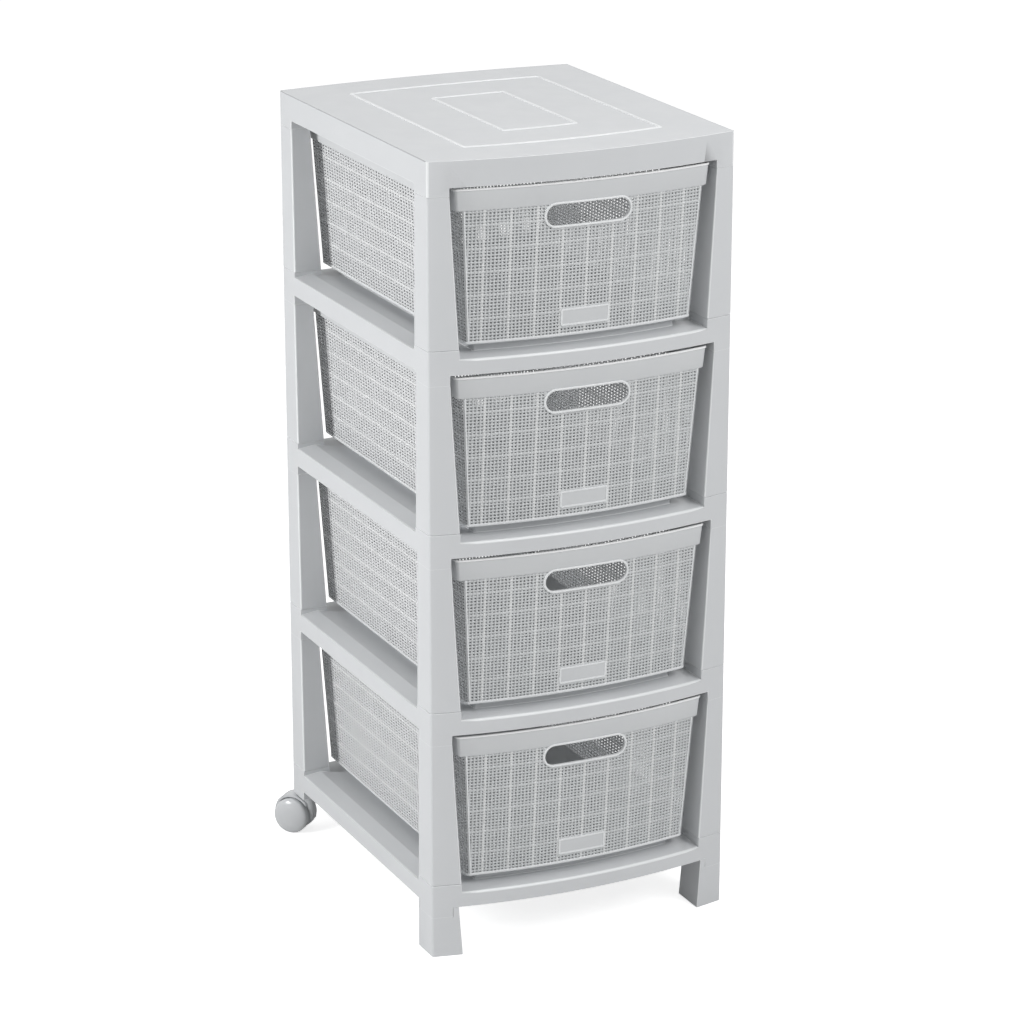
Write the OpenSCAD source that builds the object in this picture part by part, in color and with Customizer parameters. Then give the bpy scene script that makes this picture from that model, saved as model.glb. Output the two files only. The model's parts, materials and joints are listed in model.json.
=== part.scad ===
// Moulded drawer tower on two front legs and two swivel casters, with four pull-out baskets.
// The origin is the middle of the footprint on the floor. +Z is up and the drawers open towards -Y.

/* [Tower] */
// Width across the side faces
tower_w = 338; // [300:1:380]
// Depth between the front and rear corners
tower_d = 380; // [340:1:420]
// How far the middle of the front stands ahead of its corners
front_bow = 21; // [12:1:28]
// How far the middle of the rear stands behind its corners
rear_bow = 10; // [6:1:16]
// Height from one shelf to the next
tier_pitch = 190; // [176:1:220]
// Radius of the upright corner edges
edge_r = 3; // [2:0.5:4]
// Wall of the moulded frame parts
wall = 2.4; // [2:0.1:3]
// Clearance of each plug in its socket
plug_gap = 0.15; // [0.1:0.05:0.3]
// Height of the plugs that join posts, shelves and legs
plug_h = 12; // [8:1:16]

/* [Posts and legs] */
// Width of a post seen from the front, at its foot
post_foot_w = 31; // [29:0.5:34]
// Width of a post seen from the front, at its head
post_head_w = 22; // [20:0.5:24]
// Width of a post seen from the side, at its foot
post_foot_d = 33.5; // [32:0.5:36]
// Width of a post seen from the side, at its head
post_head_d = 31; // [28:0.5:31.5]
// Height of the legs below the base shelf's corner blocks
leg_h = 44; // [40:1:60]
// Width of a front leg on the floor
leg_floor_w = 32; // [28:0.5:38]
// Width of a front leg under the rail
leg_rail_w = 28; // [25:0.5:30]
// Depth of a front leg on the floor
leg_floor_d = 34.5; // [33:0.5:38]

/* [Shelves] */
// Height of the corner blocks of a shelf
block_h = 36; // [32:1:42]
// Top edge of the front and rear rails below the foot of the posts
rail_top = 9.8; // [8:0.2:12]
// Top edge of the side rails below the foot of the posts
side_rail_top = 5.5; // [4:0.5:7]
// Lower edge of all rails below the foot of the posts
rail_foot = 26; // [23:0.5:29]
// Width of the side ledge that rises from the side rail
ledge_w = 20; // [14:1:24]
// Rise of the side ledge
ledge_rise = 2; // [1:0.5:3]
// Width of the slope that falls from the ledge to the floor of the shelf
slope_w = 30; // [24:1:34]
// Top of the platform that carries the drawer, below the foot of the posts
platform_top = 0.5; // [0.4:0.1:2]
// Distance from the side face of the tower to the platform
platform_side = 57; // [55:1:64]
// Distance from the front and rear faces to the platform
platform_set_back = 29; // [24:1:36]
// Thickness of the ribs under the shelves and the top
rib = 1.8; // [1.4:0.1:2.4]
// Depth of the ribs under the shelves and the top
rib_depth = 7; // [4:1:10]

/* [Top panel] */
// Height of the corner blocks of the top panel
top_block_h = 36; // [32:1:42]
// Height of the skirt between them
skirt_h = 27; // [24:1:30]
// Half the width of the outer bead rectangle
outer_bead_w = 110; // [90:1:120]
// Distance from the front and rear faces to the outer bead
outer_bead_set_back = 55; // [40:1:70]
// Half the width of the inner bead rectangle
inner_bead_w = 42; // [30:1:60]
// Distance from the front and rear faces to the inner bead
inner_bead_set_back = 116; // [100:1:130]
// Width of a bead
bead_w = 2.6; // [2:0.1:4]
// Height of a bead
bead_h = 1; // [0.6:0.1:1.6]

/* [Drawers] */
// Gap between the drawer and the platform it slides on
drawer_gap = 0.3; // [0.2:0.05:0.5]
// Gap between the top of a drawer and the lowest edge over it
drawer_top_gap = 2.4; // [1.6:0.2:12]
// Gap between the rim and the head of the post beside it
rim_side_gap = 6; // [4:0.5:9]
// How far the body under the rim is drawn in from the rim's side
neck_draw_in = 7; // [5:0.5:11]
// How far the foot of the body is drawn in from the rim's side
foot_draw_in = 15; // [12:0.5:23]
// Wall of a drawer
drawer_wall = 2.2; // [1.8:0.1:3]
// Height of the smooth rim
rim_h = 23; // [16:1:28]
// Set-back of the drawer's front at the bottom, behind the face of the tower
front_set_back_foot = 16.5; // [12:0.5:20]
// Set-back of the rim's top edge behind the face of the tower
front_set_back_rim = 3.6; // [3:0.2:6]
// Set-back of the drawer's rear at the bottom, behind the rear face of the tower
rear_set_back_foot = 9.5; // [8:0.5:16]
// Set-back of the rim's top edge at the rear
rear_set_back_rim = 0.5; // [0:0.5:3]
// How far the rim stands proud of the body under it
rim_step = 2; // [1:0.5:3]
// Radius of the drawer's upright corners
drawer_corner_r = 9; // [6:1:14]
// Radius of the drawer's lower edge
drawer_foot_r = 2; // [1.5:0.5:5]
// Length of the handle slot
slot_w = 92; // [70:1:110]
// Height of the handle slot
slot_h = 22; // [18:1:26]
// Width of the raised ring round the handle slot
slot_ring = 2.4; // [1.5:0.1:4]
// Rows of openings in the walls of a drawer
grid_rows = 4; // [2:1:5]
// Openings across the front and across the rear
grid_columns = 8; // [4:2:8]
// Openings along each side
grid_side_columns = 10; // [6:1:12]
// Width of the bars between the openings
grid_bar = 6; // [4:0.5:9]
// Closed band round the openings of a wall, at the foot, the neck and the corners
grid_margin = 10; // [7:0.5:16]
// Width of the closed field low on the front
front_field_w = 53; // [40:1:70]

/* [Casters] */
// Gap between the top of a caster and the block over it
caster_top_gap = 0.6; // [0.4:0.1:2]
// Gap between a turning wheel and the hood
wheel_gap = 1; // [0.8:0.1:1.6]
// Width of one wheel's tread
tread_w = 10.5; // [8:0.5:12]
// Rise of the domed outer face of a wheel
dome = 3; // [2:0.5:5]
// Distance from the swivel axis to the wheel axle
trail = 17; // [14:1:20]
// Thickness of the web between the two wheels
web_w = 9; // [7:0.5:11]
// Diameter of the steel stem
stem_d = 8; // [7:0.5:9]
// Diameter of the steel axle
axle_d = 5; // [4:0.5:6]
// Distance from the side face of the tower to the stem
stem_inboard = 12.5; // [12:0.5:13.5]
// Distance from the rear corner line to the stem
stem_ahead = 16; // [14:0.5:18]
// Length of the stem inside its socket
stem_grip = 24; // [18:1:28]
// Thickness of the hood over the treads
hood_wall = 2.4; // [2:0.1:3]
// Width of the hood's cover over each tread
hood_cover = 5; // [3:0.5:7]
// Running clearance on a radius, of the stem and of the axle
running_gap = 0.06; // [0.03:0.01:0.1]
// Swivel angle of the left caster at rest, the right one mirrors it
swivel = 42; // [0:1:90]

/* [Hidden] */
$fn = 96;
BOW_FN = 240;
TIERS = 4;

LEFT = -1;
RIGHT = 1;
FRONT = -1;
REAR = 1;
SHELL = "#d0d2d4";
CASTER = "#b4b6b8";
STEEL = "#c8cacc";
// Overshoot of a cut past the face that it opens
past = 1;
// Overlap that makes two shapes one solid
join = 0.2;
// Thickness of a slice in a hull
thin = 0.01;
// Least radius of an inner corner
least_r = 0.5;
// Radius of the rounded edges of a wheel's tread
tread_edge_r = 1.2;

// Radius of the arc that bows an edge of length w outwards by s in its middle
function bow_radius(w, s) = (w * w / 4 + s * s) / (2 * s);
front_r = bow_radius(tower_w, front_bow);
rear_r = bow_radius(tower_w, rear_bow);
front_y = -tower_d / 2 - front_bow;
rear_y = tower_d / 2 + rear_bow;
post_h = tier_pitch - block_h;
base_z = leg_h + block_h;
top_z = base_z + TIERS * tier_pitch - block_h + top_block_h;
// Foot of the posts of a tier, which is the reference height of the shelf under them
function shelf_z(tier) = base_z + (tier - 1) * tier_pitch;
// Straight line through two values, for sizes that change evenly with height
function between(a, b, share) = a + (b - a) * share;

// Plan of the tower, with bowed front and rear edges that run parallel to its own, drawn in
// from the sides, the front and the rear by the distances given, with corners of radius r
module plan(side = 0, front = 0, rear = 0, r = edge_r, bow_fn = BOW_FN) {
    half = tower_w / 2 - side;
    core = half - r;
    arc_f = front_r - front;
    arc_r = rear_r - rear;
    front_cy = front_y + front_r;
    rear_cy = rear_y - rear_r;
    corner_fy = front_cy - sqrt(pow(arc_f - r, 2) - pow(core, 2));
    corner_ry = rear_cy + sqrt(pow(arc_r - r, 2) - pow(core, 2));
    touch_f = core * arc_f / (arc_f - r);
    touch_r = core * arc_r / (arc_r - r);
    translate([-half, corner_fy])
        square([2 * half, corner_ry - corner_fy]);
    intersection() {
        translate([0, front_cy])
            circle(arc_f, $fn = bow_fn);
        translate([-touch_f, -tower_d])
            square([2 * touch_f, tower_d]);
    }
    intersection() {
        translate([0, rear_cy])
            circle(arc_r, $fn = bow_fn);
        translate([-touch_r, 0])
            square([2 * touch_r, tower_d]);
    }
    for (x = [-core, core]) {
        translate([x, corner_fy])
            circle(r);
        translate([x, corner_ry])
            circle(r);
    }
}

// Slab of the tower's plan between two heights
module slab(z0, z1, side = 0, front = 0, rear = 0, r = edge_r) {
    translate([0, 0, z0])
        linear_extrude(z1 - z0)
            plan(side, front, rear, r);
}

// One corner of the tower's plan as a column of height h. It is w0 by d0 at its foot and w1 by
// d1 at its head, measured from the side face and from the corner line, less inset all round.
module corner_column(sx, sy, h, w0, w1, d0, d1, inset = 0) {
    x_out = tower_w / 2 + past;
    y_out = tower_d / 2 + front_bow + past;
    x0 = tower_w / 2 - w0 + inset;
    x1 = tower_w / 2 - w1 + inset;
    y0 = tower_d / 2 - d0 + inset;
    y1 = tower_d / 2 - d1 + inset;
    intersection() {
        linear_extrude(h)
            plan(inset, inset, inset, max(edge_r - inset, least_r));
        rotate([90, 0, 0])
            linear_extrude(2 * tower_d, center = true)
                polygon([[sx * x_out, 0], [sx * x0, 0], [sx * x1, h], [sx * x_out, h]]);
        rotate([90, 0, 90])
            linear_extrude(2 * tower_w, center = true)
                polygon([[sy * y_out, 0], [sy * y0, 0], [sy * y1, h], [sy * y_out, h]]);
    }
}

// Plug that fills the hollow foot of a post and narrows as the post does. It starts inside the
// block below.
module foot_plug(sx, sy) {
    low = -wall / 2 / post_h;
    high = plug_h / post_h;
    translate([0, 0, low * post_h])
        corner_column(sx, sy, (high - low) * post_h,
            between(post_foot_w, post_head_w, low), between(post_foot_w, post_head_w, high),
            between(post_foot_d, post_head_d, low), between(post_foot_d, post_head_d, high),
            wall + plug_gap);
}

// Straight column that fills the pocket of a block, from its mouth upwards
module block_plug(sx, sy, h, gap) {
    corner_column(sx, sy, h, post_head_w, post_head_w, post_head_d, post_head_d, wall + gap);
}

// Hollow tapered post with a hollow spigot on its head
module post(sx, sy, tier) {
    share = (post_h - wall) / post_h;
    color(SHELL)
        translate([0, 0, shelf_z(tier)])
            difference() {
                union() {
                    corner_column(sx, sy, post_h, post_foot_w, post_head_w,
                        post_foot_d, post_head_d);
                    translate([0, 0, post_h - wall])
                        block_plug(sx, sy, plug_h + wall, plug_gap);
                }
                corner_column(sx, sy, post_h - wall,
                    post_foot_w, between(post_foot_w, post_head_w, share),
                    post_foot_d, between(post_foot_d, post_head_d, share), wall);
                translate([0, 0, post_h - 2 * wall])
                    block_plug(sx, sy, plug_h + 2 * wall + past, plug_gap + wall);
            }
}

// Tapered front leg, which laps the base shelf's block up to the rail. It is hollow, and closed
// on the floor.
module front_leg(sx) {
    lap_h = base_z - rail_foot;
    color(SHELL)
        difference() {
            union() {
                difference() {
                    corner_column(sx, FRONT, lap_h, leg_floor_w, leg_rail_w,
                        leg_floor_d, post_foot_d);
                    translate([0, 0, leg_h])
                        corner_column(sx, FRONT, lap_h, post_head_w, post_head_w,
                            post_head_d, post_head_d, -plug_gap);
                }
                translate([0, 0, leg_h - wall])
                    block_plug(sx, FRONT, plug_h + wall, plug_gap);
            }
            translate([0, 0, wall])
                block_plug(sx, FRONT, leg_h - 2 * wall, 0);
            translate([0, 0, leg_h - 2 * wall])
                block_plug(sx, FRONT, plug_h + 2 * wall + past, plug_gap + wall);
        }
}

// Ribs under a sheet whose underside is at height z, within a box of the half sizes given
module ribs(z, half_x, half_y) {
    for (x = [-half_x / 2, 0, half_x / 2])
        translate([x - rib / 2, -half_y, z - rib_depth])
            cube([rib, 2 * half_y, rib_depth + join]);
    for (y = [-half_y / 2, 0, half_y / 2])
        translate([-half_x, y - rib / 2, z - rib_depth])
            cube([2 * half_x, rib, rib_depth + join]);
}

// Corner block under a shelf, with a wider head that carries the foot of a post
module block(sx, sy) {
    translate([0, 0, -block_h])
        corner_column(sx, sy, block_h, post_head_w, post_head_w, post_head_d, post_head_d);
    translate([0, 0, -rail_top - wall])
        corner_column(sx, sy, rail_top + wall, post_foot_w, post_foot_w,
            post_foot_d, post_foot_d);
}

// Pocket in a corner block of height h, for the post, leg or caster socket below
module pocket(sx, sy, h) {
    translate([0, 0, -h - past])
        block_plug(sx, sy, h + past - wall, 0);
}

// Profile of the sheet between the side rails: a ledge rises from each rail, then a slope
// falls to the floor of the shelf. Its underside follows the top, or lies flat at its ends.
module side_profile(flat = false) {
    half = tower_w / 2;
    ledge_x = half - ledge_w;
    floor_x = ledge_x - slope_w;
    ledge_z = -side_rail_top + ledge_rise;
    floor_z = -rail_top - wall;
    side_z = flat ? floor_z : -side_rail_top - wall;
    under_z = flat ? floor_z : ledge_z - wall;
    polygon([
        [-half, -side_rail_top], [-ledge_x, ledge_z], [-floor_x, -rail_top],
        [floor_x, -rail_top], [ledge_x, ledge_z], [half, -side_rail_top],
        [half, side_z], [ledge_x, under_z], [floor_x, floor_z],
        [-floor_x, floor_z], [-ledge_x, under_z], [-half, side_z]
    ]);
}

// Shelf in its own height, with the foot of the posts above it at z = 0
module shelf() {
    side_y = tower_d / 2 - post_foot_d;
    floor_z = -rail_top - wall;
    platform_z = -platform_top;
    difference() {
        union() {
            // Front and rear rails with the floor behind them
            difference() {
                slab(-rail_foot, -rail_top);
                slab(-rail_foot - past, floor_z, wall, wall, wall);
                translate([-tower_w / 2, -side_y, floor_z - rail_foot])
                    cube([tower_w, 2 * side_y, 2 * rail_foot]);
            }
            // Side rails
            intersection() {
                difference() {
                    slab(-rail_foot, -side_rail_top);
                    slab(-rail_foot - past, past, wall, wall, wall);
                }
                translate([-tower_w, -side_y - join, -rail_foot])
                    cube([2 * tower_w, 2 * (side_y + join), rail_foot]);
            }
            // Sheet with ledges and slopes between the side rails, closed at both ends
            intersection() {
                slab(-rail_foot, 0);
                rotate([90, 0, 0]) {
                    linear_extrude(2 * side_y, center = true)
                        side_profile();
                    for (y = [-side_y, side_y])
                        translate([0, 0, y])
                            linear_extrude(wall, center = true)
                                side_profile(flat = true);
                }
            }
            for (sx = [LEFT, RIGHT], sy = [FRONT, REAR]) {
                block(sx, sy);
                foot_plug(sx, sy);
            }
            slab(floor_z, platform_z, platform_side, platform_set_back, platform_set_back);
        }
        slab(floor_z - past, platform_z - wall, platform_side + wall,
            platform_set_back + wall, platform_set_back + wall);
        for (sx = [LEFT, RIGHT], sy = [FRONT, REAR])
            pocket(sx, sy, block_h);
    }
    intersection() {
        ribs(platform_z - wall, tower_w / 2 - platform_side - wall / 2,
            tower_d / 2 - platform_set_back + front_bow);
        slab(-rail_foot, past, platform_side + wall / 2, platform_set_back + wall / 2,
            platform_set_back + wall / 2);
    }
}

// Shelf under a tier of posts
module tier_shelf(tier) {
    color(SHELL)
        translate([0, 0, shelf_z(tier)])
            shelf();
}

// Frame of a bead rectangle that follows the bowed edges
module bead(half_w, set_back) {
    side = tower_w / 2 - half_w;
    translate([0, 0, top_z - join])
        linear_extrude(bead_h + join)
            difference() {
                plan(side, set_back, set_back);
                plan(side + bead_w, set_back + bead_w, set_back + bead_w, edge_r / 2);
            }
}

// Tray-shaped top with two raised beads
module top_panel() {
    color(SHELL) {
        difference() {
            slab(top_z - skirt_h, top_z);
            slab(top_z - skirt_h - past, top_z - wall, wall, wall, wall);
        }
        intersection() {
            slab(top_z - skirt_h, top_z - wall / 2, wall / 2, wall / 2, wall / 2);
            ribs(top_z - wall, tower_w / 2, rear_y + front_bow);
        }
        for (sx = [LEFT, RIGHT], sy = [FRONT, REAR])
            translate([0, 0, top_z])
                difference() {
                    translate([0, 0, -top_block_h])
                        corner_column(sx, sy, top_block_h - wall / 2, post_head_w, post_head_w,
                            post_head_d, post_head_d);
                    pocket(sx, sy, top_block_h);
                }
        bead(outer_bead_w, outer_bead_set_back);
        bead(inner_bead_w, inner_bead_set_back);
    }
}

drawer_foot_z = -platform_top + drawer_gap;
// Lowest edge over a drawer, which is a rail of the shelf above or the skirt of the top
edge_over_z = tier_pitch - max(rail_foot, skirt_h + block_h - top_block_h);
drawer_h = edge_over_z - drawer_top_gap - drawer_foot_z;
neck_h = drawer_h - rim_h;
neck_share = neck_h / drawer_h;
// Half widths of the rim, of the body under it and of the body's foot
rim_w = tower_w / 2 - post_head_w - rim_side_gap;
drawer_neck_w = rim_w - neck_draw_in;
drawer_foot_w = rim_w - foot_draw_in;
// Draw-in of the rim's lower edge at the rear
rear_rim_draft = 1;
front_set_back_neck = between(front_set_back_foot, front_set_back_rim, neck_share) + rim_step / 2;
rear_set_back_neck = rear_set_back_rim + rear_rim_draft + rim_step;
// Depth of a rounded edge half way round it, as a share of its radius
half_round = 1 - cos(45);
// Facets of a full circle in the drawers' plan, long on the bowed edges, short in the corners
BOW_FACETS = 160;
CORNER_FACETS = 24;

// Thin slice of a drawer at height z, for the hulls below
module drawer_slice(z, half_w, front, rear, inset, r) {
    translate([0, 0, z])
        linear_extrude(thin)
            plan(tower_w / 2 - half_w + inset, front + inset, rear + inset, r,
                bow_fn = BOW_FACETS, $fn = CORNER_FACETS);
}

// Tapered body of a drawer from its foot to its neck, drawn in by inset and lifted by lift
module drawer_body(inset, lift, reach) {
    r = drawer_corner_r - inset;
    soft = drawer_foot_r;
    hull() {
        drawer_slice(lift, drawer_foot_w, front_set_back_foot, rear_set_back_foot,
            inset + soft, r);
        drawer_slice(lift + soft * half_round, drawer_foot_w, front_set_back_foot,
            rear_set_back_foot, inset + soft * half_round, r);
        drawer_slice(lift + soft, drawer_foot_w, front_set_back_foot, rear_set_back_foot,
            inset, r);
        drawer_slice(neck_h + reach, drawer_neck_w, front_set_back_neck, rear_set_back_neck,
            inset, r);
    }
}

// Smooth rim of a drawer, drawn in by inset, from height z0 to z1
module drawer_rim(inset, z0, z1) {
    r = drawer_corner_r - inset;
    hull() {
        drawer_slice(z0, rim_w - rim_step, front_set_back_neck - rim_step / 2,
            rear_set_back_rim + rear_rim_draft, inset, r);
        drawer_slice(z1, rim_w, front_set_back_rim, rear_set_back_rim, inset, r);
    }
}

// Oblong of length w and height h, as a bar through the drawer's front
module slot_bar(w, h) {
    translate([0, front_y - past, neck_h - slot_h / 2])
        rotate([-90, 0, 0])
            linear_extrude(tower_d / 4)
                union() {
                    square([w - h, h], center = true);
                    for (x = [-(w - h) / 2, (w - h) / 2])
                        translate([x, 0])
                            circle(h / 2);
                }
}

// Openings through the walls of a drawer, in rows. The front keeps a closed field under the
// handle slot and one low in the middle, where its plate is.
module wall_openings() {
    half_x = drawer_foot_w - drawer_corner_r - grid_margin;
    half_y = tower_d / 2 - front_set_back_foot - grid_margin;
    step_x = (2 * half_x + grid_bar) / grid_columns;
    step_y = (2 * half_y + grid_bar) / grid_side_columns;
    step_z = (neck_h - 2 * grid_margin + grid_bar) / grid_rows;
    open_x = step_x - grid_bar;
    open_z = step_z - grid_bar;
    for (row = [0 : grid_rows - 1]) {
        z = grid_margin + row * step_z;
        under_slot = z + open_z > neck_h - slot_h - slot_ring;
        field = under_slot ? slot_w / 2 + slot_ring : row == 0 ? front_field_w / 2 : 0;
        for (x = [-half_x : step_x : half_x]) {
            near = min(abs(x), abs(x + open_x));
            translate([x, 0, z])
                cube([open_x, tower_d, open_z]);
            if (near >= field)
                translate([x, -tower_d, z])
                    cube([open_x, tower_d, open_z]);
        }
        for (y = [-half_y : step_y : half_y])
            translate([-tower_w / 2, y, z])
                cube([tower_w, step_y - grid_bar, open_z]);
    }
}

// Pull-out basket
module drawer(tier) {
    color(SHELL)
        translate([0, 0, shelf_z(tier) + drawer_foot_z])
            difference() {
                union() {
                    drawer_body(0, 0, join);
                    drawer_rim(0, neck_h, drawer_h - thin);
                    intersection() {
                        slot_bar(slot_w + 2 * slot_ring, slot_h + 2 * slot_ring);
                        drawer_body(-slot_ring / 2, 0, slot_ring + past);
                    }
                }
                drawer_body(drawer_wall, drawer_wall, past);
                drawer_rim(drawer_wall, neck_h + past / 2, drawer_h + past);
                slot_bar(slot_w, slot_h);
                wall_openings();
            }
}

wheel_d = leg_h - caster_top_gap - hood_wall - wheel_gap;
wheel_r = wheel_d / 2;
stem_x = tower_w / 2 - stem_inboard;
stem_y = tower_d / 2 - stem_ahead;
// Hood over the axle, where the stem starts
stem_floor = 6;
stem_foot = wheel_r + stem_floor;
stem_top = leg_h + stem_grip;
boss_wall = 3;
boss_d = stem_d + 2 * boss_wall;
hood_r = wheel_r + wheel_gap + hood_wall;
// Hub of the web round the axle, and the heights where its arm, the boss and the cover start
hub_r = wheel_r * 0.75;
arm_foot = wheel_r * 0.8;
boss_foot = wheel_r * 1.1;
cover_foot = wheel_r * 1.4;
// Reach of the cover behind the axle
cover_reach = wheel_r * 0.85;
tread_x = web_w / 2 + wheel_gap - running_gap;
// Wall of a wheel over the end of the axle
axle_cover = 1;
axle_half = tread_x + tread_w - axle_cover;

// Place of a caster, turned about its stem, with its axle along X and its trail along Y
module caster_place(sx) {
    translate([sx * stem_x, stem_y, 0])
        rotate([0, 0, -sx * swivel])
            children();
}

// Lies a shape that was turned about Z along the wheel axle
module on_axle() {
    translate([0, trail, wheel_r])
        rotate([0, 90, 0])
            children();
}

// Plug in the rear block that holds a caster's stem
module caster_socket(sx) {
    color(SHELL)
        difference() {
            translate([0, 0, leg_h])
                block_plug(sx, REAR, block_h - 2 * wall, plug_gap);
            translate([sx * stem_x, stem_y, leg_h - past])
                cylinder(h = stem_grip + 2 * past, d = stem_d + 2 * running_gap);
        }
}

// Cover of a hood, a part ring over both treads that reaches from the boss to the rear
module hood_ring() {
    cover_w = web_w + 2 * hood_cover;
    intersection() {
        on_axle()
            difference() {
                cylinder(h = cover_w, r = hood_r, center = true);
                cylinder(h = cover_w + past, r = wheel_r + wheel_gap, center = true);
            }
        translate([-cover_w / 2, 0, cover_foot])
            cube([cover_w, trail + cover_reach, wheel_r]);
    }
}

// Hood of a caster: a web between the wheels, a cover over their treads and a boss for the stem
module caster_hood(sx) {
    color(CASTER)
        caster_place(sx)
            difference() {
                union() {
                    on_axle()
                        cylinder(h = web_w, r = hub_r, center = true);
                    intersection() {
                        on_axle()
                            cylinder(h = web_w, r = hood_r, center = true);
                        translate([-web_w / 2, -stem_d, arm_foot])
                            cube([web_w, stem_d + trail + hood_r, wheel_r + hood_r - arm_foot]);
                    }
                    hood_ring();
                    translate([0, 0, boss_foot])
                        cylinder(h = leg_h - caster_top_gap - boss_foot, d = boss_d);
                }
                translate([0, 0, stem_foot])
                    cylinder(h = leg_h, d = stem_d);
                on_axle()
                    cylinder(h = 2 * web_w, d = axle_d, center = true);
                // Room for the wheels, which turn beside the web
                for (side = [LEFT, RIGHT])
                    on_axle()
                        translate([0, 0, side * (web_w / 2 + wheel_r)])
                            cylinder(h = wheel_d, r = wheel_r + wheel_gap, center = true);
            }
}

module caster_stem(sx) {
    color(STEEL)
        caster_place(sx)
            translate([0, 0, stem_foot])
                cylinder(h = stem_top - stem_foot, d = stem_d);
}

module caster_axle(sx) {
    color(STEEL)
        caster_place(sx)
            on_axle()
                cylinder(h = 2 * axle_half, d = axle_d, center = true);
}

// Half section of a wheel's tread, with rounded edges
module tread_profile() {
    core_r = wheel_r - tread_edge_r;
    square([core_r, tread_w]);
    translate([0, tread_edge_r])
        square([wheel_r, tread_w - 2 * tread_edge_r]);
    for (z = [tread_edge_r, tread_w - tread_edge_r])
        translate([core_r, z])
            circle(tread_edge_r);
}

// Wheel on one side of the web, closed by a dome on its outer face
module wheel(sx, side) {
    x1 = tread_x + tread_w;
    rim_r = wheel_r - tread_edge_r;
    dome_r = (rim_r * rim_r + dome * dome) / (2 * dome);
    color(CASTER)
        caster_place(sx)
            on_axle()
                rotate([0, side == RIGHT ? 0 : 180, 0])
                    difference() {
                        union() {
                            translate([0, 0, tread_x])
                                rotate_extrude()
                                    tread_profile();
                            intersection() {
                                translate([0, 0, x1 + dome - dome_r])
                                    sphere(dome_r);
                                translate([0, 0, x1 - join])
                                    cylinder(h = dome + past, r = rim_r);
                            }
                        }
                        translate([0, 0, tread_x - past])
                            cylinder(h = axle_half - tread_x + past + plug_gap,
                                d = axle_d + 2 * running_gap);
                    }
}

top_panel();
tier_shelf(2);  // shelf_2
tier_shelf(3);  // shelf_3
tier_shelf(4);  // shelf_4
tier_shelf(1);  // base_shelf
post(LEFT, FRONT, 1);  // post_1_front_left
post(RIGHT, FRONT, 1);  // post_1_front_right
post(LEFT, REAR, 1);  // post_1_rear_left
post(RIGHT, REAR, 1);  // post_1_rear_right
post(LEFT, FRONT, 2);  // post_2_front_left
post(RIGHT, FRONT, 2);  // post_2_front_right
post(LEFT, REAR, 2);  // post_2_rear_left
post(RIGHT, REAR, 2);  // post_2_rear_right
post(LEFT, FRONT, 3);  // post_3_front_left
post(RIGHT, FRONT, 3);  // post_3_front_right
post(LEFT, REAR, 3);  // post_3_rear_left
post(RIGHT, REAR, 3);  // post_3_rear_right
post(LEFT, FRONT, 4);  // post_4_front_left
post(RIGHT, FRONT, 4);  // post_4_front_right
post(LEFT, REAR, 4);  // post_4_rear_left
post(RIGHT, REAR, 4);  // post_4_rear_right
front_leg(LEFT);  // front_leg_left
front_leg(RIGHT);  // front_leg_right
caster_socket(LEFT);  // caster_socket_left
caster_socket(RIGHT);  // caster_socket_right
drawer(1);  // drawer_1
drawer(2);  // drawer_2
drawer(3);  // drawer_3
drawer(4);  // drawer_4
caster_hood(LEFT);  // caster_hood_left
caster_stem(LEFT);  // caster_stem_left
caster_axle(LEFT);  // caster_axle_left
wheel(LEFT, LEFT);  // wheel_left_outer
wheel(LEFT, RIGHT);  // wheel_left_inner
caster_hood(RIGHT);  // caster_hood_right
caster_stem(RIGHT);  // caster_stem_right
caster_axle(RIGHT);  // caster_axle_right
wheel(RIGHT, RIGHT);  // wheel_right_outer
wheel(RIGHT, LEFT);  // wheel_right_inner
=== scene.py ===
# %% [markdown]
# # A moulded drawer tower with woven baskets
# The tower is all plastic: a frame of hollow posts, shelves and legs that plug into each other,
# four pull-out baskets whose walls are moulded as an open canvas weave, and two small casters at
# the rear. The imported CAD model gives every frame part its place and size. This lesson gives the
# frame its softened edges and satin finish, and models the baskets thread by thread.

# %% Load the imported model
import json
import math
from bisect import bisect

import bmesh
import bpy
from mathutils import Matrix, Vector

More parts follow.
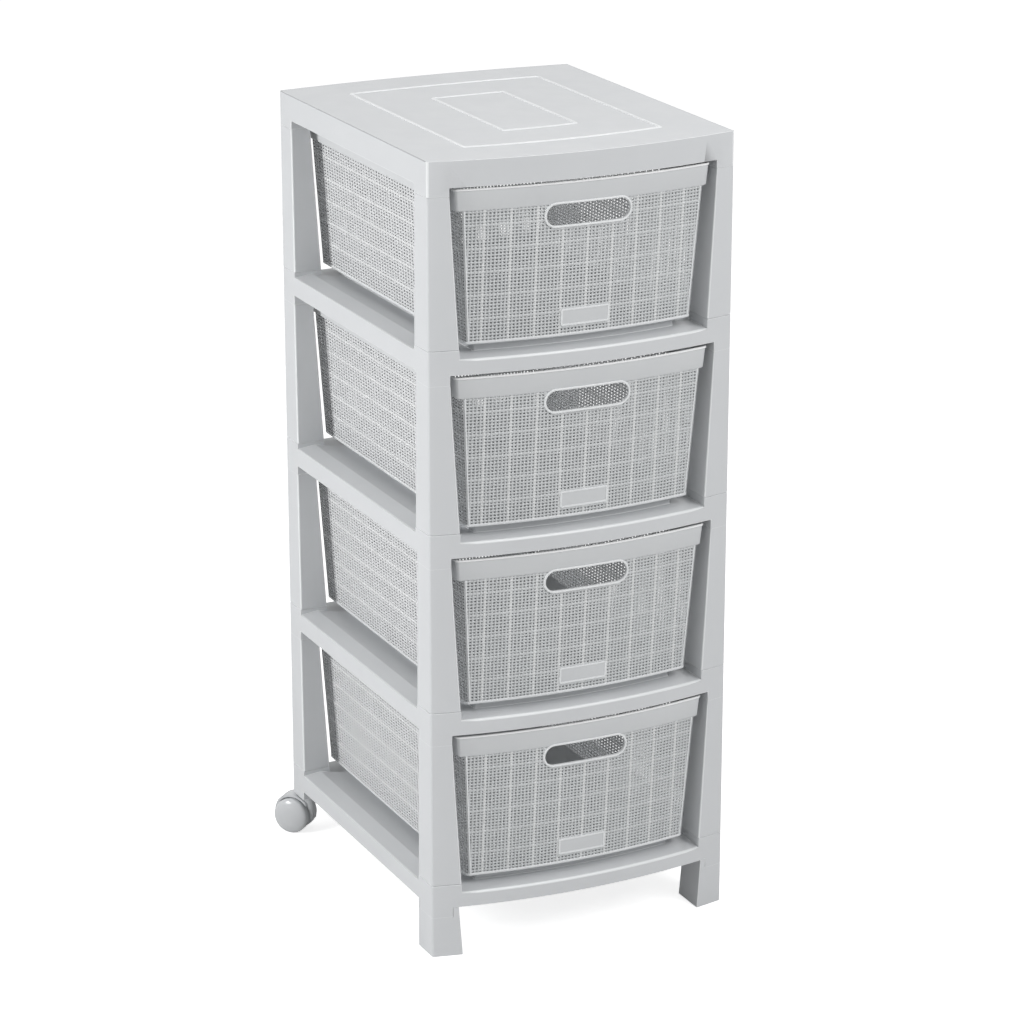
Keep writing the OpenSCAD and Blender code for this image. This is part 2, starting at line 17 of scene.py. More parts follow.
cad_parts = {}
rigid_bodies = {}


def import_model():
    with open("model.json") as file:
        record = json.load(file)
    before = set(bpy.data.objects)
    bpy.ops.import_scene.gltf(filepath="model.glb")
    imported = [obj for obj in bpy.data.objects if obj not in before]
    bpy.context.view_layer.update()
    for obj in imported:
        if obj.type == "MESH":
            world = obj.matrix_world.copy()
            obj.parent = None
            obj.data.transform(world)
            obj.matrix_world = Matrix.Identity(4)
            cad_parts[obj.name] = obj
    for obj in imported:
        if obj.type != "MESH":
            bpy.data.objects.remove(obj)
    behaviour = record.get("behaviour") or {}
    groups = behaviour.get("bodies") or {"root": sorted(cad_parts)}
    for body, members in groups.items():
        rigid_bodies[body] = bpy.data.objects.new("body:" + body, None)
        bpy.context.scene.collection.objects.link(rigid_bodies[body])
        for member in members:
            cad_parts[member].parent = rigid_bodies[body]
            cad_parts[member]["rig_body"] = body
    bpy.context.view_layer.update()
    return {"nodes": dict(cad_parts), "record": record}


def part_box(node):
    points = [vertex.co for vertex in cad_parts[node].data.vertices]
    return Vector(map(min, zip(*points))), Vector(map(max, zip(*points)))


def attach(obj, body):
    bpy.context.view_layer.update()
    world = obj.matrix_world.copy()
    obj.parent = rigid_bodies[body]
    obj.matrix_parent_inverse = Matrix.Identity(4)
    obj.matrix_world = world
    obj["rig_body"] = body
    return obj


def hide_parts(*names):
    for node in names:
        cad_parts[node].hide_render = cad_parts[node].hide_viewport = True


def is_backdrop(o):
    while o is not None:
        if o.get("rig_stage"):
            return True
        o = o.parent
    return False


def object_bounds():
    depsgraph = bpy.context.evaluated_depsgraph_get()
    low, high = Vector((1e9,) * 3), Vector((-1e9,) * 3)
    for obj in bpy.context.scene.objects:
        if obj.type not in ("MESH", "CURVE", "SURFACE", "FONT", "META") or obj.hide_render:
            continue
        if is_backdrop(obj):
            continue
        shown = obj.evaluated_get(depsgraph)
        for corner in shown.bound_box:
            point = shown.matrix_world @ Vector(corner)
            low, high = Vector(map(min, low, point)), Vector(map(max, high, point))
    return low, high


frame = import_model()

MM = 0.001

# %% [markdown]
# ## The camera
# The photograph was taken from the left of the front and from above, with a long lens that keeps
# the posts nearly parallel. A camera's place, pan and tilt can be found by matching the corners of
# the tower in the picture, and this one was. It stays unshifted, so that it can be moved round the
# object later without losing it from the frame.

# %% Camera
SENSOR_W = 36.0
LENS = 128.6
CAMERA_PLACE = Vector((-1572.0, -3348.6, 1615.3)) * MM
CAMERA_PAN = 0.4419
CAMERA_TILT = -0.3161

camera_data = bpy.data.cameras.new("camera")
camera_data.sensor_width = SENSOR_W
camera_data.lens = LENS
camera = bpy.data.objects.new("camera", camera_data)
bpy.context.scene.collection.objects.link(camera)
camera.location = CAMERA_PLACE
camera.rotation_euler = (math.pi / 2 + CAMERA_TILT, 0, -CAMERA_PAN)
bpy.context.scene.camera = camera
print("camera distance:", round(CAMERA_PLACE.length, 2), "m")

# %% [markdown]
# ## The plan of the tower
# Seen from above, the front and the rear of everything are bowed: the shelves, the top and the
# baskets share two long arcs. Working with the arcs as two small functions keeps each basket wall
# parallel to the shelf that it stands on. A set-back is a distance drawn in from the arc.

# %% Plan arcs
TOWER_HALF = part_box("top_panel")[1].x
FRONT_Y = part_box("top_panel")[0].y
REAR_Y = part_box("top_panel")[1].y
FRONT_BOW = 21 * MM
REAR_BOW = 10 * MM


def bow_radius(half, bow):
    return (half * half + bow * bow) / (2 * bow)


FRONT_R = bow_radius(TOWER_HALF, FRONT_BOW)
REAR_R = bow_radius(TOWER_HALF, REAR_BOW)
FRONT_CENTRE = FRONT_Y + FRONT_R
REAR_CENTRE = REAR_Y - REAR_R


def front_arc(x, set_back):
    return FRONT_CENTRE - math.sqrt((FRONT_R - set_back) ** 2 - x * x)


def rear_arc(x, set_back):
    return REAR_CENTRE + math.sqrt((REAR_R - set_back) ** 2 - x * x)


def between(a, b, share):
    return a + (b - a) * share


print("front arc radius:", round(FRONT_R, 4), "rear arc radius:", round(REAR_R, 4))

# %% [markdown]
# ## The basket's walls
# A basket tapers: its walls lean out from the foot to the neck, where the smooth rim steps out
# over them. Heights here are counted from the underside of the basket. The function gives the
# half width and the two set-backs of the wall at any height, and the centre of a corner's arc.

# %% Basket walls as functions of height
basket_low, basket_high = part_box("drawer_1")
BASKET_H = basket_high.z - basket_low.z
RIM_H = 23 * MM
NECK_H = BASKET_H - RIM_H
FOOT_SOFT = 2 * MM
WALL = 2.2 * MM
CORNER_R = 4 * MM
FOOT_HALF = 126 * MM
NECK_HALF = 134 * MM
RIM_HALF = basket_high.x
RIM_FRONT = basket_low.y - FRONT_Y
RIM_REAR = REAR_Y - basket_high.y
RIM_STEP = 2 * MM
FOOT_FRONT = 16.5 * MM
FOOT_REAR = 9.5 * MM
NECK_FRONT = between(FOOT_FRONT, RIM_FRONT, NECK_H / BASKET_H) + RIM_STEP / 2
NECK_REAR = RIM_REAR + 1.5 * RIM_STEP


def wall_at(z):
    """Half width, front set-back and rear set-back of the basket's body at height z."""
    share = (z - FOOT_SOFT) / (NECK_H - FOOT_SOFT)
    return (between(FOOT_HALF, NECK_HALF, share), between(FOOT_FRONT, NECK_FRONT, share),
            between(FOOT_REAR, NECK_REAR, share))


def corner_centre_y(half, front=None, rear=None):
    """Where the arc of a basket corner is centred, for a front or a rear set-back."""
    core = half - CORNER_R
    if front is not None:
        return FRONT_CENTRE - math.sqrt((FRONT_R - front - CORNER_R) ** 2 - core * core)
    return REAR_CENTRE + math.sqrt((REAR_R - rear - CORNER_R) ** 2 - core * core)


print("basket height:", round(BASKET_H, 4), "neck:", round(NECK_H, 4))

# %% [markdown]
# ## Small helpers
# One function turns the colour codes that a designer writes into the linear values that a shader
# wants. One adds a node with its settings and links. One turns a finished bmesh into an object.

# %% Helpers
def colour(code):
    """An sRGB hex colour as linear red, green, blue and alpha."""
    parts = [int(code[i:i + 2], 16) / 255 for i in (1, 3, 5)]
    return tuple(p / 12.92 if p <= 0.04045 else ((p + 0.055) / 1.055) ** 2.4 for p in parts) + (1,)


def add_node(tree, kind, settings=None, inputs=None):
    """Adds a node, sets its properties and its inputs, and links the inputs that are sockets."""
    made = tree.nodes.new(kind)
    for key, value in (settings or {}).items():
        setattr(made, key, value)
    for key, value in (inputs or {}).items():
        if isinstance(value, bpy.types.NodeSocket):
            tree.links.new(value, made.inputs[key])
        else:
            made.inputs[key].default_value = value
    return made


def new_material(name):
    """An empty material, its node tree and its output node."""
    material = bpy.data.materials.new(name)
    material.use_nodes = True
    material.node_tree.nodes.clear()
    output = material.node_tree.nodes.new("ShaderNodeOutputMaterial")
    return material, material.node_tree, output


def finish_mesh(bm, name, material, smooth_angle=35):
    """Makes an object of a bmesh, shaded smooth except across edges sharper than the angle."""
    mesh = bpy.data.meshes.new(name)
    bm.to_mesh(mesh)
    bm.free()
    mesh.materials.append(material)
    mesh.polygons.foreach_set("use_smooth", [True] * len(mesh.polygons))
    mesh.set_sharp_from_angle(angle=math.radians(smooth_angle))
    made = bpy.data.objects.new(name, mesh)
    bpy.context.scene.collection.objects.link(made)
    return made


# %% [markdown]
# ## Satin moulded polypropylene
# The frame is injection-moulded polypropylene. The mould was lightly grained, so the plastic has a
# broad satin highlight and no mirror reflections. Colour drifts very slightly where the melt
# flowed and cooled, and sharp edges are painted a touch paler, as a painted highlight. A flat grey
# would look like card, so noise at three real scales carries the flow, the grain and the dulling of
# the gloss. The rounded edges themselves have smoother finishes and are painted paler, as painted
# highlights.

# %% Satin polypropylene
POLYPROPYLENE_IOR = 1.49
FLOW_SIZE = 70 * MM
GRAIN_SIZE = 0.6 * MM
GRAIN_DEPTH = 0.03 * MM
HANDLING_SIZE = 25 * MM
HIGHLIGHT_WIDTH = 0.4 * MM
HIGHLIGHT_FROM, HIGHLIGHT_FULLY = 0.985, 0.88  # cosines of how far an edge turns within that width
BURNISHED, DULLED = -0.05, 0.06  # how far handling moves the roughness


def satin_polypropylene(name, pale, deep, edge_highlight, roughness):
    material, tree, output = new_material(name)
    place = add_node(tree, "ShaderNodeTexCoord").outputs["Object"]
    flow, handling, grain = (
        add_node(tree, "ShaderNodeTexNoise", None,
                 {"Vector": place, "Scale": 1 / size, "Detail": detail}).outputs["Fac"]
        for size, detail in ((FLOW_SIZE, 3.0), (HANDLING_SIZE, 4.0), (GRAIN_SIZE, 2.0)))
    body = add_node(tree, "ShaderNodeMix", {"data_type": "RGBA"},
                    {"Factor": flow, "A": colour(pale), "B": colour(deep)}).outputs["Result"]
    soft_normal = add_node(tree, "ShaderNodeBevel", {"samples": 4},
                           {"Radius": HIGHLIGHT_WIDTH}).outputs["Normal"]
    flat_normal = add_node(tree, "ShaderNodeNewGeometry").outputs["Normal"]
    turned = add_node(tree, "ShaderNodeVectorMath", {"operation": "DOT_PRODUCT"},
                      {0: soft_normal, 1: flat_normal}).outputs["Value"]
    edge = add_node(tree, "ShaderNodeMapRange", None,
                    {"Value": turned, "From Min": HIGHLIGHT_FROM,
                     "From Max": HIGHLIGHT_FULLY}).outputs["Result"]
    # Edges that the bevel normal finds are painted paler: a painted highlight.
    skin = add_node(tree, "ShaderNodeMix", {"data_type": "RGBA"},
                    {"Factor": edge, "A": body, "B": colour(edge_highlight)}).outputs["Result"]
    gloss = add_node(tree, "ShaderNodeMapRange", None,
                     {"Value": handling, "From Min": 0.3, "From Max": 0.7,
                      "To Min": roughness + BURNISHED,
                      "To Max": roughness + DULLED}).outputs["Result"]
    bump = add_node(tree, "ShaderNodeBump", None,
                    {"Height": grain, "Strength": 0.25, "Distance": GRAIN_DEPTH}).outputs["Normal"]
    shader = add_node(tree, "ShaderNodeBsdfPrincipled", None,
                      {"Base Color": skin, "Roughness": gloss, "Normal": bump,
                       "IOR": POLYPROPYLENE_IOR})
    tree.links.new(shader.outputs["BSDF"], output.inputs["Surface"])
    return material


# Moulded against a grained mould: an even satin grey, for the frame and a shade paler for baskets.
SHELL_PLASTIC = satin_polypropylene("satin_polypropylene_frame", "#D2D4D6", "#CDCFD1", "#EBEDEE",
                                    0.42)
BASKET_PLASTIC = satin_polypropylene("satin_polypropylene_basket", "#D4D6D7", "#CED0D2",
                                     "#E9EBEC", 0.45)
# Painted highlights: thin pale lines on rounded edges that draw the outlines of the parts.
SHELL_EDGE_HIGHLIGHT = satin_polypropylene("rubbed_polypropylene_frame_edge", "#E8EAEB", "#E3E5E6",
                                 "#EEF0F1", 0.34)
BASKET_EDGE_HIGHLIGHT = satin_polypropylene("rubbed_polypropylene_basket_edge", "#ECEEEF", "#E6E8E9",
                                  "#F0F2F3", 0.36)
# Beads and lips: the brightest painted highlights of all.
BRIGHTEST_HIGHLIGHT = satin_polypropylene("burnished_polypropylene_bead", "#F7F8F8", "#F3F4F4",
                                  "#F7F8F8", 0.30)
# Painted shade: a fine dark line on the chamfers along the left and right sides of the top.
PAINTED_SHADE_LINE = satin_polypropylene("dulled_polypropylene_parting_line", "#ABADAF", "#A6A8AA",
                                   "#ABADAF", 0.6)

# %% [markdown]
# ## Woven polypropylene
# The basket walls imitate canvas: vertical and horizontal threads cross over and under, with
# square holes between them. The holes and threads are real mesh. The roundness of each thread and
# its rise over every second crossing are finer than a pixel in most views, so a bump carries them.
# It reads a UV map that counts threads: a whole number is the middle of a thread. Every seventh
# thread is thicker and stands proud, and it is painted paler as a painted highlight. The walls are
# thin enough for a little light to pass through them, which brightens the inside.

# %% Woven polypropylene
THREAD_RISE = 0.45 * MM
THREADS_PER_CHECK = 7
THICK_HIGHLIGHT_CORE, THICK_HIGHLIGHT_EDGE = 0.28, 0.42  # from the middle of a thick thread, in threads
THREAD_FALL = 3.2  # how steeply a thread rounds off to its sides
WAVE, MEAN_HEIGHT = 0.35, 0.65  # a thread's rise and fall over crossings, as shares of its rise
WEAVE_FLOW_SIZE = 9 * MM
THIN_WALL_LIGHT = 0.28


def woven_polypropylene(name, pale, deep, thick_highlight, upright_share, level_share):
    """The shares say how strongly the thick upright and level threads take the painted highlight.
    """
    material, tree, output = new_material(name)
    threads = add_node(tree, "ShaderNodeUVMap", {"uv_map": "threads"}).outputs["UV"]
    place = add_node(tree, "ShaderNodeTexCoord").outputs["Object"]
    split = add_node(tree, "ShaderNodeSeparateXYZ", None, {"Vector": threads})
    roundness, waves, thick = [], [], []
    for axis, amount in (("X", upright_share), ("Y", level_share)):
        far = add_node(tree, "ShaderNodeMath", {"operation": "PINGPONG"},
                       {0: split.outputs[axis], 1: THREADS_PER_CHECK / 2}).outputs["Value"]
        thick.append(add_node(tree, "ShaderNodeMapRange", None,
                              {"Value": far, "From Min": THICK_HIGHLIGHT_CORE, "From Max": THICK_HIGHLIGHT_EDGE,
                               "To Min": amount, "To Max": 0.0}).outputs["Result"])
        away = add_node(tree, "ShaderNodeMath", {"operation": "PINGPONG"},
                        {0: split.outputs[axis], 1: 0.5}).outputs["Value"]
        share = add_node(tree, "ShaderNodeMath", {"operation": "MULTIPLY"},
                         {0: away, 1: THREAD_FALL}).outputs["Value"]
        square = add_node(tree, "ShaderNodeMath", {"operation": "MULTIPLY"},
                          {0: share, 1: share}).outputs["Value"]
        roundness.append(add_node(tree, "ShaderNodeMath",
                                  {"operation": "SUBTRACT", "use_clamp": True},
                                  {0: 1.0, 1: square}).outputs["Value"])
        turn = add_node(tree, "ShaderNodeMath", {"operation": "MULTIPLY"},
                        {0: split.outputs[axis], 1: math.pi}).outputs["Value"]
        waves.append(add_node(tree, "ShaderNodeMath", {"operation": "COSINE"},
                              {0: turn}).outputs["Value"])
    crossing = add_node(tree, "ShaderNodeMath", {"operation": "MULTIPLY"},
                        {0: waves[0], 1: waves[1]}).outputs["Value"]
    heights = []
    for rounded, wave in zip(roundness, (WAVE, -WAVE)):
        lifted = add_node(tree, "ShaderNodeMath", {"operation": "MULTIPLY_ADD"},
                          {0: crossing, 1: wave, 2: MEAN_HEIGHT}).outputs["Value"]
        heights.append(add_node(tree, "ShaderNodeMath", {"operation": "MULTIPLY"},
                                {0: rounded, 1: lifted}).outputs["Value"])
    height = add_node(tree, "ShaderNodeMath", {"operation": "MAXIMUM"},
                      {0: heights[0], 1: heights[1]}).outputs["Value"]
    flow = add_node(tree, "ShaderNodeTexNoise", None,
                    {"Vector": place, "Scale": 1 / WEAVE_FLOW_SIZE, "Detail": 3.0}).outputs["Fac"]
    body = add_node(tree, "ShaderNodeMix", {"data_type": "RGBA"},
                    {"Factor": flow, "A": colour(pale), "B": colour(deep)}).outputs["Result"]
    # Thick threads are painted paler: a painted highlight.
    stout = add_node(tree, "ShaderNodeMath", {"operation": "MAXIMUM"},
                     {0: thick[0], 1: thick[1]}).outputs["Value"]
    skin = add_node(tree, "ShaderNodeMix", {"data_type": "RGBA"},
                    {"Factor": stout, "A": body, "B": colour(thick_highlight)}).outputs["Result"]
    gloss = add_node(tree, "ShaderNodeMapRange", None,
                     {"Value": height, "To Min": 0.55, "To Max": 0.38}).outputs["Result"]
    bump = add_node(tree, "ShaderNodeBump", None,
                    {"Height": height, "Strength": 0.8, "Distance": THREAD_RISE}).outputs["Normal"]
    shader = add_node(tree, "ShaderNodeBsdfPrincipled", None,
                      {"Base Color": skin, "Roughness": gloss, "Normal": bump,
                       "IOR": POLYPROPYLENE_IOR})
    through = add_node(tree, "ShaderNodeBsdfTranslucent", None, {"Color": skin})
    thin = add_node(tree, "ShaderNodeMixShader", None,
                    {0: THIN_WALL_LIGHT, 1: shader.outputs["BSDF"], 2: through.outputs["BSDF"]})
    tree.links.new(thin.outputs["Shader"], output.inputs["Surface"])
    return material


# The front shows its thick uprights, the sides show their thick level threads, corners show none.
# The tones are painted by facing: the corner copy darker, as painted shade, and the side copy
# paler than the front, as painted light.
WOVEN_FRONT = woven_polypropylene("woven_polypropylene_front", "#EBEDEE", "#E4E6E7", "#F8F9F9",
                                  0.8, 0.1)
WOVEN_SIDE = woven_polypropylene("woven_polypropylene_side", "#F4F5F6", "#EEEFF0", "#FAFBFB",
                                 0.0, 0.8)
WOVEN_CORNER_SHADED = woven_polypropylene("woven_polypropylene_corner", "#D8DADB", "#D0D2D3", "#F6F7F8",
                                   0.0, 0.0)

# %% [markdown]
# ## Caster nylon and zinc-plated steel
# The caster wheels and hood are polished nylon: harder and glossier than the frame, with soft
# reflections of the room. The stem and axle are steel with a bright zinc plating.

# %% Caster finishes
NYLON_IOR = 1.53
NYLON_FLOW_SIZE = 12 * MM
SCUFF_SIZE = 1.5 * MM
SCUFF_DEPTH = 0.02 * MM
SPANGLE_SIZE = 0.8 * MM


def polished_nylon(name, pale, deep):
    material, tree, output = new_material(name)
    place = add_node(tree, "ShaderNodeTexCoord").outputs["Object"]
    flow, scuff = (
        add_node(tree, "ShaderNodeTexNoise", None,
                 {"Vector": place, "Scale": 1 / size, "Detail": detail}).outputs["Fac"]
        for size, detail in ((NYLON_FLOW_SIZE, 3.0), (SCUFF_SIZE, 4.0)))
    skin = add_node(tree, "ShaderNodeMix", {"data_type": "RGBA"},
                    {"Factor": flow, "A": colour(pale), "B": colour(deep)}).outputs["Result"]
    gloss = add_node(tree, "ShaderNodeMapRange", None,
                     {"Value": scuff, "From Min": 0.35, "From Max": 0.75,
                      "To Min": 0.16, "To Max": 0.30}).outputs["Result"]
    bump = add_node(tree, "ShaderNodeBump", None,
                    {"Height": scuff, "Strength": 0.1, "Distance": SCUFF_DEPTH}).outputs["Normal"]
    shader = add_node(tree, "ShaderNodeBsdfPrincipled", None,
                      {"Base Color": skin, "Roughness": gloss, "Normal": bump, "IOR": NYLON_IOR})
    tree.links.new(shader.outputs["BSDF"], output.inputs["Surface"])
    return material


def zinc_plated_steel(name):
    material, tree, output = new_material(name)
    place = add_node(tree, "ShaderNodeTexCoord").outputs["Object"]
    spangle = add_node(tree, "ShaderNodeTexNoise", None,
                       {"Vector": place, "Scale": 1 / SPANGLE_SIZE, "Detail": 3.0}).outputs["Fac"]
    gloss = add_node(tree, "ShaderNodeMapRange", None,
                     {"Value": spangle, "To Min": 0.22, "To Max": 0.4}).outputs["Result"]
    skin = add_node(tree, "ShaderNodeMix", {"data_type": "RGBA"},
                    {"Factor": spangle, "A": colour("#C6C8CA"),
                     "B": colour("#AFB1B4")}).outputs["Result"]
    shader = add_node(tree, "ShaderNodeBsdfPrincipled", None,
                      {"Base Color": skin, "Metallic": 1.0, "Roughness": gloss})
    tree.links.new(shader.outputs["BSDF"], output.inputs["Surface"])
    return material


CASTER_PLASTIC = polished_nylon("polished_nylon_caster", "#CDCFD1", "#C6C8CA")
STEEL = zinc_plated_steel("zinc_plated_steel")

# %% [markdown]
# ## Measures of the frame
# Every moulding has small radii on its edges, because a sharp edge would tear out of the mould.
# They catch the bright lines that outline the shelves and posts in the photograph, and the rounded
# faces are painted paler as well, a painted highlight. The radii come first, then the places where
# the edges lie. Heights of a shelf's rails are counted down from the top of its corner blocks,
# heights of a post and a leg up from the foot, and the ends of the rails from the middle of the
# tower.

# %% Radii and places of the edges
WIDEST = 2.4 * MM
PLAIN_EDGE = 0.7 * MM
UPRIGHT_EDGE = 1.5 * MM
SHELF_EDGE = 2.4 * MM
SIDE_RAIL_EDGE = 1.4 * MM
POST_FOOT_EDGE = 0.5 * MM
SEAM_CHAMFER = 1.0 * MM
SHADE_LINE_W = 0.8 * MM
BEAD_EDGE = 0.4 * MM
TOP_EDGE = 0.45 * MM
SHARP_TURN = math.radians(32)

post_low, post_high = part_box("post_1_front_left")
PLUG_H = 12 * MM
POST_H = post_high.z - post_low.z - PLUG_H
LONG_EDGE = 60 * MM
LEG_UPRIGHT = 30 * MM
TOP_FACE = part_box("top_panel")[1].z - 1 * MM
SKIRT_H = 27 * MM
TOP_CORNER = 5 * MM
SHADE_LINE_REACH = 2 * MM
TOP_BLOCK_X = TOWER_HALF - 34 * MM
TOP_BLOCK_Y = REAR_Y - 60 * MM
BEAD_HALVES = (41 * MM, 109 * MM)
BEAD_REACH = 3 * MM
RAIL_TOP = 9.8 * MM
RAIL_END = TOWER_HALF - 32 * MM
SIDE_RAIL_TOP = 5.5 * MM
SIDE_RAIL_END = REAR_Y - 45 * MM
BLOCK_H = 36 * MM
OUTER_BAND = 2.2 * MM
print("post height without its plug:", round(POST_H, 4))

# %% [markdown]
# ## Which edge gets which radius
# The long upright edges and the front edges of the shelves are rounder than the rest. The seam
# under each post is different: the top of the block below it has a plain chamfer that stays in the
# shade and reads as a fine dark line, and the joint at the head of a post is nearly flush. Another
# fine dark line runs along both sides of the top: a plain chamfer whose faces are painted dark, as
# painted shade. An edge is known by where its middle lies and how it runs, within a small play for
# rounding.

# %% Edge rules
NEAR = 0.5 * MM
NEARER = 0.2 * MM
NEAREST = 0.1 * MM
LEVEL, SLANTED, UPRIGHT = 0.1, 0.3, 0.9  # how much of a direction points up or sideways
EDGE_SLOT, BEAD_SLOT, SHADE_LINE_SLOT = 1, 2, 3  # material slots after that of the part itself


def edge_radius(name, edge, low, high):
    """How far an edge of a frame part is rounded, from where it lies and how it runs."""
    a, b = (v.co for v in edge.verts)
    middle = (a + b) / 2
    along = (b - a).normalized()
    outside = abs(middle.x) > TOWER_HALF - OUTER_BAND or not (
        front_arc(middle.x, OUTER_BAND) < middle.y < rear_arc(middle.x, OUTER_BAND))
    foot = middle.z - low.z
    if name == "top_panel":
        in_block = abs(middle.x) > TOP_BLOCK_X and abs(middle.y) > TOP_BLOCK_Y
        if in_block and abs(middle.z - TOP_FACE + SKIRT_H) < NEAR + NEAREST:
            return 0
        if middle.z > TOP_FACE + NEARER:
            return BEAD_EDGE
        if abs(middle.z - TOP_FACE) < NEARER:
            return TOP_EDGE if abs(middle.x) < TOWER_HALF - TOP_CORNER else 0
        if middle.z > TOP_FACE - SHADE_LINE_REACH and abs(along.z) < SLANTED:
            return 0
        return PLAIN_EDGE
    if name.startswith("front_leg"):
        return PLAIN_EDGE if foot < LEG_UPRIGHT else 0
    if name.startswith("post"):
        if foot < NEAR:
            return POST_FOOT_EDGE
        if abs(foot - POST_H) < NEAR:
            return 0
        is_long = abs(along.z) > UPRIGHT and edge.calc_length() > LONG_EDGE
        return UPRIGHT_EDGE if is_long else PLAIN_EDGE
    if "shelf" in name and outside and abs(along.z) < SLANTED:
        rail = high.z - middle.z - PLUG_H
        if abs(rail - RAIL_TOP) < NEAR and abs(middle.x) < RAIL_END:
            return SHELF_EDGE
        if abs(rail - SIDE_RAIL_TOP) < NEAR and abs(middle.y) < SIDE_RAIL_END:
            return SIDE_RAIL_EDGE
        if rail > BLOCK_H - 2 * NEAR or abs(rail) < NEAR:
            return 0
    return PLAIN_EDGE


def is_seam(edge, high):
    """Whether an edge of a shelf runs round the top of a block, where a post stands."""
    return all(abs(high.z - PLUG_H - v.co.z) < NEAREST for v in edge.verts)


def is_shade_line_edge(edge):
    """Whether an edge of the top runs along its left or right side, where a chamfer is painted
    dark.
    """
    return all(abs(v.co.z - TOP_FACE) < NEAREST and abs(v.co.x) > TOWER_HALF - NEAREST
               for v in edge.verts)


def edge_finish(face):
    """The material slot of a top face: highlights painted on beads and corners, shade on side
    chamfers.
    """
    n, middle = face.normal, face.calc_center_median()
    if middle.z > TOP_FACE + NEARER:
        on_side_run = any(abs(abs(middle.x) - half) < BEAD_REACH for half in BEAD_HALVES)
        return BEAD_SLOT if on_side_run else EDGE_SLOT
    # The chamfers along the sides of the top are painted dark: painted shade.
    if n.z > SLANTED and abs(n.x) > SLANTED:
        return SHADE_LINE_SLOT
    is_corner = abs(n.z) < LEVEL and abs(n.x) > SLANTED and abs(n.y) > SLANTED
    return EDGE_SLOT if is_corner else 0


# %% [markdown]
# ## Rounding a copy of each part
# The CAD solids are sharp, so each frame part is shown by a copy: its doubled points are merged,
# its flat triangles are joined into whole faces, and a bevel rounds what is left, with a weight on
# each edge for its radius. The rounded faces take a pale edge colour, a painted highlight. Seams,
# and the side lines of the top whose faces are painted dark as shade, are cut before that, as
# plain chamfers.

# %% Softened copies of the frame parts
MERGE = 0.02 * MM
FLAT_TURN = math.radians(0.5)


def softened(name, material):
    """A copy of a CAD node with its edges rounded, which stands for that node."""
    low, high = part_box(name)
    bm = bmesh.new()
    bm.from_mesh(frame["nodes"][name].data)
    bmesh.ops.remove_doubles(bm, verts=bm.verts, dist=MERGE)
    bmesh.ops.dissolve_degenerate(bm, dist=MERGE, edges=bm.edges)
    bmesh.ops.dissolve_limit(bm, angle_limit=FLAT_TURN, verts=bm.verts, edges=bm.edges)
    turns = [e for e in bm.edges if e.is_manifold and e.is_convex
             and e.calc_face_angle() > SHARP_TURN]
    chamfered, chamfer = [], 0
    if "shelf" in name:
        chamfered, chamfer = [e for e in turns if is_seam(e, high)], SEAM_CHAMFER
    elif name == "top_panel":
        chamfered, chamfer = [e for e in turns if is_shade_line_edge(e)], SHADE_LINE_W
    if chamfered:
        bmesh.ops.bevel(bm, geom=chamfered, offset=chamfer, segments=1, profile=0.5,
                        affect="EDGES", material=-1)
    weights = bm.edges.layers.float.new("bevel_weight_edge")
    for edge in bm.edges:
        near_seam = "shelf" in name and any(
            abs(high.z - PLUG_H - v.co.z) < SEAM_CHAMFER + NEAREST for v in edge.verts)
        if edge.is_manifold and edge.calc_face_angle() > SHARP_TURN and not near_seam:
            edge[weights] = edge_radius(name, edge, low, high) / WIDEST
    if name == "top_panel":
        for face in bm.faces:
            face.material_index = edge_finish(face)
    made = finish_mesh(bm, name + "_moulded", material)
    for edge_material in (SHELL_EDGE_HIGHLIGHT, BRIGHTEST_HIGHLIGHT, PAINTED_SHADE_LINE):
        made.data.materials.append(edge_material)
    round_off = made.modifiers.new("round_off", "BEVEL")
    round_off.width = WIDEST
    # The rounded faces take the pale edge material: a painted highlight.
    round_off.material = EDGE_SLOT
    round_off.segments = 3
    round_off.limit_method = "WEIGHT"
    round_off.use_clamp_overlap = False
    round_off.harden_normals = True
    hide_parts(name)
    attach(made, frame["nodes"][name]["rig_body"])
    return made


frame_parts = frame["record"]["behaviour"]["bodies"]["frame"]
for name in frame_parts:
    softened(name, SHELL_PLASTIC)
for name, part in frame["nodes"].items():
    part.data.materials.clear()
    if name.startswith(("caster_stem", "caster_axle")):
        part.data.materials.append(STEEL)
    elif name.startswith(("caster_hood", "wheel")):
        part.data.materials.append(CASTER_PLASTIC)
    elif name.startswith("drawer"):
        part.data.materials.append(BASKET_PLASTIC)
    else:
        part.data.materials.append(SHELL_PLASTIC)
print("frame parts softened:", len(frame_parts))

# %% [markdown]
# ## Domed wheels
# A caster wheel is turned on its axle, so half of its outline is enough: it is spun round. The
# outer face swells into a shallow dome with a soft shoulder, which is where the light catches. The
# joint of each wheel gives the middle and the direction of its axle.

# %% Wheels
WHEEL_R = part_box("wheel_left_outer")[1].z / 2
TREAD_START = 5.44 * MM
TREAD_W = 10.5 * MM
TREAD_EDGE = 1.2 * MM
DOME = 3 * MM
SHOULDER = 3.5 * MM
AXLE_HOLE = 2.56 * MM
AXLE_WALL = 0.9 * MM
WHEEL_STEPS = 72
TREAD_STEPS = 3
DOME_STEPS = 14


def wheel_outline():
    """Half the outline of a wheel as (distance along the axle, radius), from hole to dome."""
    end = TREAD_START + TREAD_W
    hole = end - AXLE_WALL
    points = [(hole, 0), (hole, AXLE_HOLE), (TREAD_START, AXLE_HOLE)]
    for step in range(TREAD_STEPS + 1):
        angle = math.pi / 2 * step / TREAD_STEPS
        points.append((TREAD_START + TREAD_EDGE * (1 - math.cos(angle)),
                       WHEEL_R - TREAD_EDGE * (1 - math.sin(angle))))
    for step in range(DOME_STEPS + 1):
        angle = math.pi / 2 * step / DOME_STEPS
        points.append((end - SHOULDER + (SHOULDER + DOME) * math.sin(angle),
                       WHEEL_R * math.cos(angle)))
    return points


